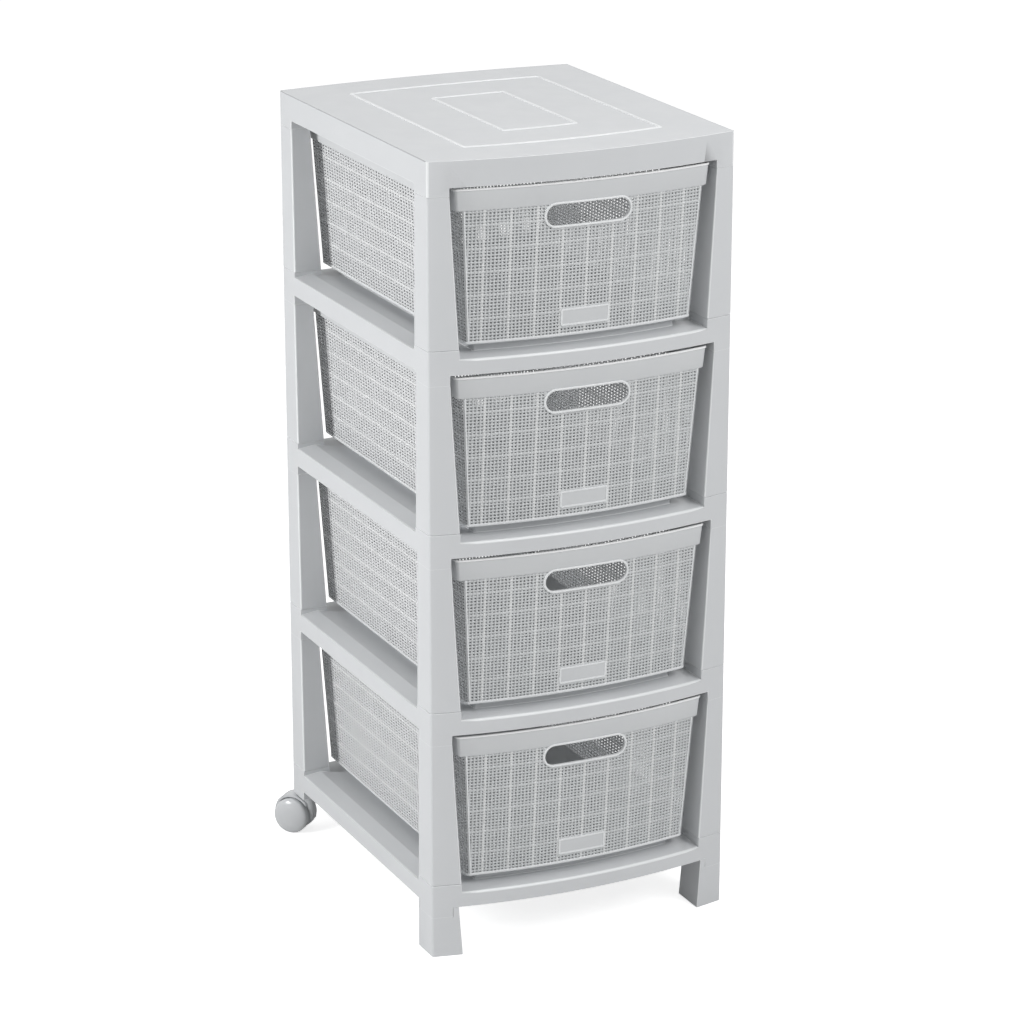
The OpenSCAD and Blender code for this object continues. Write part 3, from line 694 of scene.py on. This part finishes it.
for joint in frame["record"]["behaviour"]["joints"]:
    if not joint["name"].startswith("wheel"):
        continue
    name = joint["child"]
    middle, along = Vector(joint["pos_m"]), Vector(joint["axis"])
    if (along.x * middle.x < 0) != name.endswith("inner"):
        along = -along
    bm = bmesh.new()
    verts = [bm.verts.new((x, 0, max(r, 0))) for x, r in wheel_outline()]
    edges = [bm.edges.new(pair) for pair in zip(verts, verts[1:])]
    bmesh.ops.spin(bm, geom=verts + edges, cent=(0, 0, 0), axis=(1, 0, 0), angle=2 * math.pi,
                   steps=WHEEL_STEPS, use_merge=True)
    bmesh.ops.remove_doubles(bm, verts=bm.verts, dist=0.001 * MM)
    bmesh.ops.recalc_face_normals(bm, faces=bm.faces)
    turn = Vector((1, 0, 0)).rotation_difference(along).to_matrix().to_4x4()
    bmesh.ops.transform(bm, matrix=Matrix.Translation(middle) @ turn, verts=bm.verts)
    made = finish_mesh(bm, name + "_domed", CASTER_PLASTIC, smooth_angle=40)
    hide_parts(name)
    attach(made, name)
print("wheel radius:", round(WHEEL_R, 4))

# %% [markdown]
# ## The weave grid
# A woven wall is a flat grid of strips: thread, hole, thread, hole. Every seventh thread is
# thicker, which gives the canvas its coarse check. A function gives the edges of the strips, so
# that the same rule serves the front, the sides, the back and the corners. The uprights of the
# side walls stand wider apart than those of the front, as the row of holes in the picture shows.

# %% Thread spacing
CHECK_X = 27.4 * MM
CHECK_Z = 24.0 * MM
PITCH_X = CHECK_X / THREADS_PER_CHECK
PITCH_Z = CHECK_Z / THREADS_PER_CHECK
THREAD_X = 1.75 * MM
THREAD_Z = 1.55 * MM
THICK_EXTRA = 1.0 * MM
SIDE_PITCH = 6.7 * MM
SIDE_THREAD = 2.1 * MM
FRONT_WALL = 1.5 * MM
REAR_WALL = 2.2 * MM
SIDE_WALL = 1.4 * MM
CORNER_WALL = 1.2 * MM
PANEL_RECESS = 0.35 * MM
BAND_H = 3.2 * MM
FIRST_ROW = BAND_H - 0.5 * THREAD_Z


def strip_edges(first, last, pitch, thread, thick=THICK_EXTRA):
    """Both edges of each thread from number first to number last, in order."""
    edges = []
    for number in range(first, last + 1):
        extra = thick if number % THREADS_PER_CHECK == 0 else 0
        edges += [number * pitch - (thread + extra) / 2, number * pitch + (thread + extra) / 2]
    return edges


ROWS = int((NECK_H - FIRST_ROW) / PITCH_Z) + 1
row_edges = [FIRST_ROW + e for e in strip_edges(0, ROWS, PITCH_Z, THREAD_Z)]
while row_edges[-2] > NECK_H:
    row_edges = row_edges[:-1]
row_edges[-1] = NECK_H + 0.2 * MM
print("weave rows:", ROWS, "thread pitch:", round(PITCH_X / MM, 2), round(PITCH_Z / MM, 2), "mm")

# %% [markdown]
# ## Weaving a wall
# The grid comes from one operator. Its points are then moved to the edges of the strips, it is cut
# along the slanted lines where the corners begin, and the faces of the holes are deleted. Only
# after that is it bent to the wall's arc and given its thickness, because a flat grid is easy to
# measure and cut.

# %% Weave function
def woven_wall(name, columns, pitch, cuts, keep_solid, to_wall, outward, wall, material,
               outline=None):
    """A woven sheet. columns are the strip edges across it, cuts are planes that trim it, and
    keep_solid says where it has no holes. to_wall bends a flat point (u, z) to its place, outline
    moves points off an opening, and outward is a direction that the outer face looks in."""
    bm = bmesh.new()
    across, up = len(columns) - 1, len(row_edges) - 1
    bmesh.ops.create_grid(bm, x_segments=across, y_segments=up, size=0.5)
    for v in bm.verts:
        v.co = Vector((columns[round((v.co.x + 0.5) * across)], 0,
                       row_edges[round((v.co.y + 0.5) * up)]))
    for point, normal in cuts:
        bmesh.ops.bisect_plane(bm, geom=bm.verts[:] + bm.edges[:] + bm.faces[:],
                               plane_co=point, plane_no=normal, clear_outer=True)
    holes = []
    for face in bm.faces:
        middle = face.calc_center_median()
        column = bisect(columns, middle.x)
        row = bisect(row_edges, middle.z)
        opening = outline is not None and outline(middle.x, middle.z, True) is None
        if opening or (column % 2 == 0 and row % 2 == 0 and not keep_solid(middle.x, middle.z)):
            holes.append(face)
    bmesh.ops.delete(bm, geom=holes, context="FACES")
    if outline is not None:
        for v in bm.verts:
            v.co.x, v.co.z = outline(v.co.x, v.co.z, False)
    uv = bm.loops.layers.uv.new("threads")
    for face in bm.faces:
        for loop in face.loops:
            loop[uv].uv = (loop.vert.co.x / pitch, (loop.vert.co.z - FIRST_ROW) / PITCH_Z)
    for v in bm.verts:
        v.co = to_wall(v.co.x, v.co.z)
    bmesh.ops.dissolve_degenerate(bm, dist=0.01 * MM, edges=bm.edges)
    bm.faces.ensure_lookup_table()
    bm.normal_update()
    if sum(f.normal.dot(outward) for f in bm.faces) < 0:
        bmesh.ops.reverse_faces(bm, faces=bm.faces)
    made = finish_mesh(bm, name, material, smooth_angle=60)
    thickness = made.modifiers.new("thickness", "SOLIDIFY")
    thickness.thickness = wall
    thickness.offset = -1
    thickness.use_even_offset = False
    return made


def solid_nowhere(u, z):
    return False


# %% [markdown]
# ## The front wall and its handle slot
# The handle is an oblong slot under the rim, with a raised ring round it. Below it, near the foot,
# sits a bare plate. The weave stops at both. Grid points that fall inside the slot are pushed out
# to its outline, so the ring has a clean edge to cover.

# %% Front wall
SLOT_HALF = 46 * MM
SLOT_R = 11 * MM
SLOT_Z = NECK_H - SLOT_R
RING_W = 2.2 * MM
RING_COVER = 1.2 * MM
RING_CLEAR = 0.6 * MM
PLATE_HALF = 26.5 * MM
PLATE_HALF_H = 8.8 * MM
PLATE_Z = 20.0 * MM
PLATE_CLEAR = 0.3 * MM


def slot_distance(x, z):
    """Distance from a point to the middle line of the slot, and the nearest point on it."""
    middle = max(-(SLOT_HALF - SLOT_R), min(SLOT_HALF - SLOT_R, x))
    return math.hypot(x - middle, z - SLOT_Z), middle


def slot_outline(x, z, is_face):
    """For a face: None if it lies inside the slot. For a point: its place outside the slot."""
    clear = SLOT_R + RING_W / 2
    distance, middle = slot_distance(x, z)
    if is_face:
        return None if distance < clear - RING_COVER else (x, z)
    if distance >= clear or z > NECK_H:
        return (x, z)
    scale = clear / max(distance, 0.1 * MM)
    return (middle + (x - middle) * scale, SLOT_Z + (z - SLOT_Z) * scale)


def front_solid(x, z):
    """Whether the front has no hole at a point, because the ring or the plate covers it."""
    by_ring = slot_distance(x, z)[0] < SLOT_R + RING_W + RING_CLEAR
    by_plate = (abs(x) < PLATE_HALF + PLATE_CLEAR
                and abs(z - PLATE_Z) < PLATE_HALF_H + PLATE_CLEAR)
    return by_ring or by_plate


def slanted_cut(side, low, high):
    """A plane through two points (u, z) of a flat wall, facing the side that is cut away."""
    along = Vector((high[0] - low[0], 0, high[1] - low[1]))
    normal = Vector((along.z, 0, -along.x)) * side
    return Vector((low[0], 0, low[1])), normal.normalized()


z_low, z_high = row_edges[0], row_edges[-1]


def width_cuts():
    """The two slanted lines where a front or rear wall meets its corners."""
    return [slanted_cut(side, (side * (wall_at(z_low)[0] - CORNER_R), z_low),
                        (side * (wall_at(z_high)[0] - CORNER_R), z_high)) for side in (-1, 1)]


reach = int(NECK_HALF / PITCH_X) + 1
cross_columns = strip_edges(-reach, reach, PITCH_X, THREAD_X)
front_wall = woven_wall(
    "basket_front_weave", cross_columns, PITCH_X, width_cuts(), front_solid,
    lambda x, z: Vector((x, front_arc(x, wall_at(z)[1] + PANEL_RECESS), z)),
    Vector((0, -1, 0)), FRONT_WALL, WOVEN_FRONT, slot_outline)
rear_wall = woven_wall(
    "basket_rear_weave", cross_columns, PITCH_X, width_cuts(), solid_nowhere,
    lambda x, z: Vector((x, rear_arc(x, wall_at(z)[2] + PANEL_RECESS), z)),
    Vector((0, 1, 0)), REAR_WALL, WOVEN_FRONT)
print("front wall faces:", len(front_wall.data.polygons))

# %% [markdown]
# ## The side walls
# The side walls are flat and lean outwards, so they need no bending, only a place. Their slanted
# ends are cut where the arcs of the corners begin.

# %% Side walls
def length_cuts():
    """The two slanted lines where a side wall meets its corners."""
    ends = []
    for z in (z_low, z_high):
        half, front, rear = wall_at(z)
        ends.append((corner_centre_y(half, front=front), corner_centre_y(half, rear=rear), z))
    return [slanted_cut(-1, (ends[0][0], z_low), (ends[1][0], z_high)),
            slanted_cut(1, (ends[0][1], z_low), (ends[1][1], z_high))]


side_reach = int(REAR_Y / SIDE_PITCH) + 2
side_columns = strip_edges(-side_reach, side_reach, SIDE_PITCH, SIDE_THREAD, 0)
side_walls = []
for side, word in ((-1, "left"), (1, "right")):
    side_walls.append(woven_wall(
        f"basket_{word}_weave", side_columns, SIDE_PITCH, length_cuts(), solid_nowhere,
        lambda y, z, side=side: Vector((side * (wall_at(z)[0] - PANEL_RECESS), y, z)),
        Vector((side, 0, 0)), SIDE_WALL, WOVEN_SIDE))
print("side wall faces:", len(side_walls[0].data.polygons))

# %% [markdown]
# ## The corners
# The weave runs on round each corner, where the columns follow an arc instead of a straight line,
# so that the outline of a corner shows the ends of the threads.

# %% Corner walls
corner_columns = strip_edges(1, 2, PITCH_X, THREAD_X)
corner_first, corner_last = corner_columns[0], corner_columns[-1]


def corner_point(u, z, side, end):
    """A point on the arc of a corner: u runs from the front or rear wall to the side wall."""
    half, front, rear = wall_at(z)
    core = half - CORNER_R
    if end < 0:
        centre_y = corner_centre_y(half, front=front)
        lean = math.asin(core / (FRONT_R - front - CORNER_R))
    else:
        centre_y = corner_centre_y(half, rear=rear)
        lean = math.asin(core / (REAR_R - rear - CORNER_R))
    share = (u - corner_first) / (corner_last - corner_first)
    angle = between(math.pi / 2 - lean, 0, share)
    r = CORNER_R - PANEL_RECESS
    return Vector((side * (core + r * math.cos(angle)), centre_y + end * r * math.sin(angle), z))


corner_walls = []
for side, side_word in ((-1, "left"), (1, "right")):
    for end, end_word in ((-1, "front"), (1, "rear")):
        corner_walls.append(woven_wall(
            f"basket_{end_word}_{side_word}_corner_weave", corner_columns, PITCH_X, [],
            solid_nowhere, lambda u, z, side=side, end=end: corner_point(u, z, side, end),
            Vector((side, end, 0)), CORNER_WALL, WOVEN_CORNER_SHADED))
print("woven walls:", 4 + len(corner_walls))

# %% [markdown]
# ## Plan loops
# The rim and the tray of a basket are rings of constant section. Each ring is made of closed loops
# at several heights, bridged into a skin. A loop starts as one face with four corners: its front
# and rear edges are divided and pushed onto the arcs, and a vertex bevel rounds the corners.

# %% Plan loop helper
ARC_CUTS = 23
CORNER_SEGMENTS = 7


def plan_loop(bm, z, half, front, rear, radius):
    """A closed loop of edges in the shape of the tower's plan. Returns its edges."""
    known = set(bm.edges)
    corners = [bm.verts.new((x, front_arc(x, front), z)) for x in (-half, half)]
    corners += [bm.verts.new((x, rear_arc(x, rear), z)) for x in (half, -half)]
    edges = [bm.edges.new((corners[i], corners[(i + 1) % 4])) for i in range(4)]
    made = bmesh.ops.subdivide_edges(bm, edges=[edges[0], edges[2]], cuts=ARC_CUTS)
    for v in made["geom_inner"]:
        if isinstance(v, bmesh.types.BMVert):
            v.co.y = front_arc(v.co.x, front) if v.co.y < 0 else rear_arc(v.co.x, rear)
    edges = [e for e in bm.edges if e.is_wire and e not in known]
    bmesh.ops.contextual_create(bm, geom=edges)
    corners = [v for e in edges for v in e.verts if half - abs(v.co.x) < 0.001 * MM]
    bmesh.ops.bevel(bm, geom=list(dict.fromkeys(corners)), offset=radius, segments=CORNER_SEGMENTS,
                    profile=0.5, affect="VERTICES", material=-1, offset_type="OFFSET")
    face = next(f for f in bm.faces if len(f.verts) > 2 * ARC_CUTS)
    edges = face.edges[:]
    bmesh.ops.delete(bm, geom=[face], context="FACES_ONLY")
    return edges


def skin_over(bm, loops, closed):
    """Bridges each loop to the next, and the last to the first if the ring is closed."""
    pairs = list(zip(loops, loops[1:]))
    if closed:
        pairs.append((loops[-1], loops[0]))
    for low, high in pairs:
        bmesh.ops.bridge_loops(bm, edges=low + high)


# %% [markdown]
# ## The rim
# The rim is smooth and wide enough to grip. A thin lip runs round its top, and below it the rim
# steps in to the woven wall, which gives the shadow line above the weave.

# %% Rim
LIP_H = 3.0 * MM
LIP_STEP = 0.9 * MM
ROUND = 1.0 * MM
ROUND_MID = 0.3 * ROUND  # how far the middle of a quarter round lies from both of its sides


def rim_plan(z, inset):
    """Half width and set-backs of the rim at a height above the basket's foot, drawn in."""
    share = (z - NECK_H) / RIM_H
    return (between(RIM_HALF - RIM_STEP, RIM_HALF, share) - inset,
            between(NECK_FRONT - RIM_STEP / 2, RIM_FRONT, share) + inset,
            between(NECK_REAR - RIM_STEP, RIM_REAR, share) + inset)


def body_plan(z, inset):
    half, front, rear = wall_at(z)
    return half - inset, front + inset, rear + inset


bm = bmesh.new()
stations = [
    (NECK_H - 0.2 * MM, body_plan, 0.1 * MM), (NECK_H, rim_plan, LIP_STEP + ROUND),
    (NECK_H + ROUND_MID, rim_plan, LIP_STEP + ROUND_MID), (NECK_H + ROUND, rim_plan, LIP_STEP),
    (BASKET_H - LIP_H, rim_plan, LIP_STEP), (BASKET_H - LIP_H + LIP_STEP, rim_plan, 0),
    (BASKET_H - ROUND, rim_plan, 0), (BASKET_H - ROUND_MID, rim_plan, ROUND_MID),
    (BASKET_H, rim_plan, ROUND), (BASKET_H - ROUND_MID, rim_plan, WALL - ROUND_MID),
    (BASKET_H - ROUND, rim_plan, WALL), (NECK_H + WALL, rim_plan, WALL), (NECK_H, body_plan, WALL)]
loops = []
for z, plan, inset in stations:
    half, front, rear = plan(z, inset)
    loops.append(plan_loop(bm, z, half, front, rear, CORNER_R - inset))
skin_over(bm, loops, True)
bmesh.ops.recalc_face_normals(bm, faces=bm.faces)
# The outer faces of the lip take the brightest edge material: a painted highlight.
for face in bm.faces:
    middle = face.calc_center_median()
    outer = face.normal.x * middle.x + face.normal.y * middle.y > 0 or face.normal.z > 0.5
    if middle.z > BASKET_H - LIP_H + LIP_STEP and outer:
        face.material_index = 1
rim = finish_mesh(bm, "basket_rim", BASKET_PLASTIC, smooth_angle=40)
rim.data.materials.append(BRIGHTEST_HIGHLIGHT)
print("rim faces:", len(rim.data.polygons))

# %% [markdown]
# ## The tray
# The foot of the basket is a closed tray with a softly rounded lower edge. A plain band of its wall
# carries the lowest thread.

# %% Tray
QUARTER_ROUND = ((0, 1), (0.12, 0.5), (0.3, 0.3), (0.5, 0.12), (1, 0))  # (up, in), of its radius
BAND_SOFT = 0.3 * MM

bm = bmesh.new()
stations = [(up * FOOT_SOFT, inwards * FOOT_SOFT) for up, inwards in QUARTER_ROUND]
stations += [(BAND_H - BAND_SOFT, 0), (BAND_H, BAND_SOFT), (BAND_H - 0.2 * MM, WALL),
             (WALL + 0.5 * MM, WALL), (WALL, WALL + 0.6 * MM)]
loops = []
for z, inset in stations:
    half, front, rear = body_plan(max(z, FOOT_SOFT), inset)
    loops.append(plan_loop(bm, z, half, front, rear, CORNER_R - min(inset, WALL)))
skin_over(bm, loops, False)
for loop in (loops[0], loops[-1]):
    bmesh.ops.contextual_create(bm, geom=loop)
bmesh.ops.recalc_face_normals(bm, faces=bm.faces)
# The outer wall of the tray takes the pale edge material: a painted highlight along the foot.
for face in bm.faces:
    on_wall = abs(face.normal.z) < 0.7 and 0.4 * FOOT_SOFT < face.calc_center_median().z
    face.material_index = 1 if on_wall else 0
tray = finish_mesh(bm, "basket_tray", BASKET_PLASTIC, smooth_angle=30)
tray.data.materials.append(BASKET_EDGE_HIGHLIGHT)
print("tray faces:", len(tray.data.polygons))

# %% [markdown]
# ## The border bars
# Where the front or rear wall turns into a corner, the moulding has a thicker upright thread. It
# stiffens the basket, and it is painted pale as a bright line, a painted highlight. Each bar is a
# slim box whose ends follow the wall.

# %% Border bars
BAR_HALF = 0.8 * MM
BAR_PROUD = 0.15 * MM
BAR_ROUND = 0.4 * MM


def bar_places(z):
    """For each bar at height z: a point on the outer wall, the run across it and the way out."""
    half, front, rear = wall_at(z)
    core = half - CORNER_R
    step = 0.1 * MM
    places = []
    for side in (-1, 1):
        for arc, set_back in ((front_arc, front), (rear_arc, rear)):
            x = side * core
            slope = (arc(x + step, set_back) - arc(x - step, set_back)) / (2 * step)
            places.append((Vector((x, arc(x, set_back), z)), Vector((1, slope, 0)).normalized(),
                           Vector((0, -1 if arc is front_arc else 1, 0))))
    return places


bm = bmesh.new()
for low, high in zip(bar_places(BAND_H - 0.5 * MM), bar_places(NECK_H + 0.1 * MM)):
    verts = bmesh.ops.create_cube(bm, size=2)["verts"]
    for v in verts:
        point, across, out = high if v.co.z > 0 else low
        depth = BAR_PROUD if v.co.y > 0 else -(FRONT_WALL + PANEL_RECESS)
        v.co = point + across * (v.co.x * BAR_HALF) + out * depth
bmesh.ops.recalc_face_normals(bm, faces=bm.faces)
# The bars take the pale edge material: a painted highlight.
bars = finish_mesh(bm, "basket_border_bars", BASKET_EDGE_HIGHLIGHT)
soft = bars.modifiers.new("round_off", "BEVEL")
soft.width = BAR_ROUND
soft.segments = 2
soft.harden_normals = True
print("border bar faces:", len(bars.data.polygons))

# %% [markdown]
# ## The ring of the handle slot
# The ring is a flat oblong band that stands a little proud of the weave and the rim. Two circles
# are pulled apart into oblongs, their straight sides are divided so that they can follow the bowed
# wall, and the band between them is bridged and bent.

# %% Handle ring
RING_PROUD = 1.2 * MM
RING_ROUND = 0.4 * MM
RING_STEPS = 32
STRAIGHT_CUTS = 12


def oblong_loop(bm, radius, depth):
    """Adds a closed oblong round the slot, with its depth as y, and returns its edges."""
    known = set(bm.edges)
    verts = bmesh.ops.create_circle(bm, segments=RING_STEPS, radius=radius)["verts"]
    half_step = Matrix.Rotation(math.pi / RING_STEPS, 4, "Z")
    bmesh.ops.transform(bm, matrix=half_step, verts=verts)
    for v in verts:
        v.co = Vector((v.co.x + math.copysign(SLOT_HALF - SLOT_R, v.co.x), depth,
                       SLOT_Z + v.co.y))
    straight = [e for e in bm.edges if e not in known and e.calc_length() > SLOT_HALF / 2]
    bmesh.ops.subdivide_edges(bm, edges=straight, cuts=STRAIGHT_CUTS)
    return [e for e in bm.edges if e not in known]


bm = bmesh.new()
outer_r = SLOT_R + RING_W
stations = [(outer_r, -PANEL_RECESS), (outer_r, RING_PROUD - RING_ROUND),
            (outer_r - RING_ROUND, RING_PROUD), (SLOT_R + RING_ROUND, RING_PROUD),
            (SLOT_R, RING_PROUD - RING_ROUND), (SLOT_R, -WALL), (outer_r, -WALL)]
skin_over(bm, [oblong_loop(bm, radius, depth) for radius, depth in stations], True)
for v in bm.verts:
    v.co.y = front_arc(v.co.x, wall_at(v.co.z)[1] - v.co.y)
bmesh.ops.recalc_face_normals(bm, faces=bm.faces)
# The ring takes the pale edge material: a painted highlight.
ring = finish_mesh(bm, "basket_handle_ring", BASKET_EDGE_HIGHLIGHT, smooth_angle=50)
print("ring faces:", len(ring.data.polygons))

# %% [markdown]
# ## The bare plate
# A small rectangular plate sits low on the front. Its field is plain and sunk a little, so that a
# raised border is left round it, painted paler as a painted highlight. One face is inset twice:
# once for the border and once for the slope down to the field. An inset of a face on its own needs
# use_boundary, because all its edges are boundary edges.

# %% Bare plate
PLATE_PROUD = 0.7 * MM
PLATE_BACK = WALL - 0.4 * MM
PLATE_CORNER = 2.2 * MM
PLATE_BORDER = 1.5 * MM
FIELD_SLOPE = 0.4 * MM
FIELD_DEPTH = 0.45 * MM
PLATE_STRIP = 4.5 * MM
PLATE_CUTS = int(PLATE_HALF / PLATE_STRIP)

bm = bmesh.new()
verts = bmesh.ops.create_grid(bm, x_segments=1, y_segments=1, size=1)["verts"]
for v in verts:
    v.co = Vector((v.co.x * PLATE_HALF, 0, PLATE_Z + v.co.y * PLATE_HALF_H))
bmesh.ops.bevel(bm, geom=verts, offset=PLATE_CORNER, segments=4, profile=0.5,
                affect="VERTICES", material=-1)
border = bmesh.ops.inset_region(bm, faces=bm.faces[:], thickness=PLATE_BORDER, depth=0,
                                use_boundary=True, use_even_offset=True)
# The border takes the pale edge material: a painted highlight.
for face in border["faces"]:
    face.material_index = 1
field = [f for f in bm.faces if abs(f.calc_center_median().z - PLATE_Z) < 1 * MM
         and len(f.verts) > 4]
bmesh.ops.inset_region(bm, faces=field, thickness=FIELD_SLOPE, depth=0,
                       use_even_offset=True)
for v in field[0].verts:
    v.co.y = FIELD_DEPTH
for cut in range(-PLATE_CUTS, PLATE_CUTS + 1):
    bmesh.ops.bisect_plane(bm, geom=bm.verts[:] + bm.edges[:] + bm.faces[:],
                           plane_co=(cut * PLATE_STRIP, 0, 0), plane_no=(1, 0, 0))
for v in bm.verts:
    v.co.y = front_arc(v.co.x, wall_at(v.co.z)[1] - PLATE_PROUD + v.co.y)
bm.normal_update()
if sum(f.normal.y for f in bm.faces) > 0:
    bmesh.ops.reverse_faces(bm, faces=bm.faces)
plate = finish_mesh(bm, "basket_bare_plate", BASKET_PLASTIC)
plate.data.materials.append(BASKET_EDGE_HIGHLIGHT)
for edge in plate.data.edges:
    edge.use_edge_sharp = True
thickness = plate.modifiers.new("thickness", "SOLIDIFY")
thickness.thickness = PLATE_PROUD + PLATE_BACK
thickness.offset = -1
print("plate faces:", len(plate.data.polygons))

# %% [markdown]
# ## Four baskets
# The baskets are alike, so one set of pieces is copied to every tier. The copy's place goes into
# its mesh, as it does for a CAD part.

# %% Baskets on every tier
TIERS = 4
pieces = [front_wall, rear_wall, rim, tray, bars, ring, plate] + side_walls + corner_walls
for tier in range(1, TIERS + 1):
    node = f"drawer_{tier}"
    lift = Matrix.Translation((0, 0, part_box(node)[0].z))
    for piece in pieces:
        mesh = piece.data.copy()
        mesh.transform(lift)
        name = piece.name.replace("basket", node)
        mesh.name = name
        made = bpy.data.objects.new(name, mesh)
        bpy.context.scene.collection.objects.link(made)
        for source in piece.modifiers:
            copy = made.modifiers.new(source.name, source.type)
            for key in ("width", "segments", "harden_normals", "thickness", "offset",
                        "use_even_offset"):
                if hasattr(source, key):
                    setattr(copy, key, getattr(source, key))
        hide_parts(node)
        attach(made, node)
for piece in pieces:
    bpy.data.objects.remove(piece)
print("basket pieces per tier:", len(pieces))

# %% [markdown]
# ## The floor
# The photograph is a cut-out on pure white. A plain pale floor takes the shadow, and a glow that
# only the camera sees lifts the rest of it to white, so no lamp has to be raised for that.

# %% Floor
FLOOR_HALF = 12
FLOOR_GLOW = 0.74

bm = bmesh.new()
bmesh.ops.create_grid(bm, x_segments=1, y_segments=1, size=FLOOR_HALF)
floor_material, tree, output = new_material("pale_floor")
pale = add_node(tree, "ShaderNodeBsdfDiffuse", None, {"Color": colour("#E0E0E0")})
glow = add_node(tree, "ShaderNodeEmission", None,
                {"Color": colour("#FFFFFF"), "Strength": FLOOR_GLOW})
both = add_node(tree, "ShaderNodeAddShader", None, {0: pale.outputs[0], 1: glow.outputs[0]})
seen = add_node(tree, "ShaderNodeLightPath").outputs["Is Camera Ray"]
mixed = add_node(tree, "ShaderNodeMixShader", None,
                 {0: seen, 1: pale.outputs[0], 2: both.outputs[0]})
tree.links.new(mixed.outputs[0], output.inputs["Surface"])
floor = finish_mesh(bm, "floor", floor_material)
floor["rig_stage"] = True
print("floor width:", 2 * FLOOR_HALF, "m")

# %% [markdown]
# ## World and lamps
# The light comes softly from the left, the front and above. The world looks white to the camera and
# in reflections, but gives less light than that, and the lamps stay at a plain level, so that the
# plastic keeps its own colour. A large area lamp gives a soft shadow edge.

# %% World and lamps
ROOM_LIGHT = 0.40

world = bpy.data.worlds.new("studio")
bpy.context.scene.world = world
world.use_nodes = True
tree = world.node_tree
tree.nodes.clear()
rays = add_node(tree, "ShaderNodeLightPath")
straight = add_node(tree, "ShaderNodeMath", {"operation": "MAXIMUM"},
                    {0: rays.outputs["Is Camera Ray"], 1: rays.outputs["Is Glossy Ray"]})
direct = add_node(tree, "ShaderNodeMath", {"operation": "MAXIMUM"},
                  {0: straight.outputs[0], 1: rays.outputs["Is Transmission Ray"]})
room, backdrop = (add_node(tree, "ShaderNodeBackground", None,
                           {"Color": colour("#FFFFFF"), "Strength": strength}).outputs[0]
                  for strength in (ROOM_LIGHT, 1.0))
mixed = add_node(tree, "ShaderNodeMixShader", None,
                 {0: direct.outputs[0], 1: room, 2: backdrop})
add_node(tree, "ShaderNodeOutputWorld", None, {"Surface": mixed.outputs[0]})


def soft_lamp(name, place, target, size, power):
    """A square area lamp that looks at a point."""
    data = bpy.data.lights.new(name, "AREA")
    data.shape = "SQUARE"
    data.size = size
    data.energy = power
    lamp = bpy.data.objects.new(name, data)
    bpy.context.scene.collection.objects.link(lamp)
    lamp.location = place
    lamp.rotation_euler = (Vector(target) - Vector(place)).to_track_quat("-Z", "Y").to_euler()
    print(name, "is", round((Vector(target) - Vector(place)).length, 2), "m from what it lights")


soft_lamp("key_lamp", place=(-1.7, -0.05, 0.92), target=(0, 0, 0.55), size=0.5, power=17)
soft_lamp("fill_lamp", place=(0.9, -2.0, 2.1), target=(0, 0, 0.5), size=1.2, power=31.5)
soft_lamp("top_lamp", place=(0, -0.1, 3.0), target=(0, 0, 0.6), size=2.0, power=16.5)

# %% [markdown]
# ## The view and the box
# The picture uses the plain Standard view. The box of the dressed model is printed.

# %% Finish
bpy.context.scene.view_settings.view_transform = "Standard"
low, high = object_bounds()
print("visual box:", [round(v, 4) for v in low], [round(v, 4) for v in high])
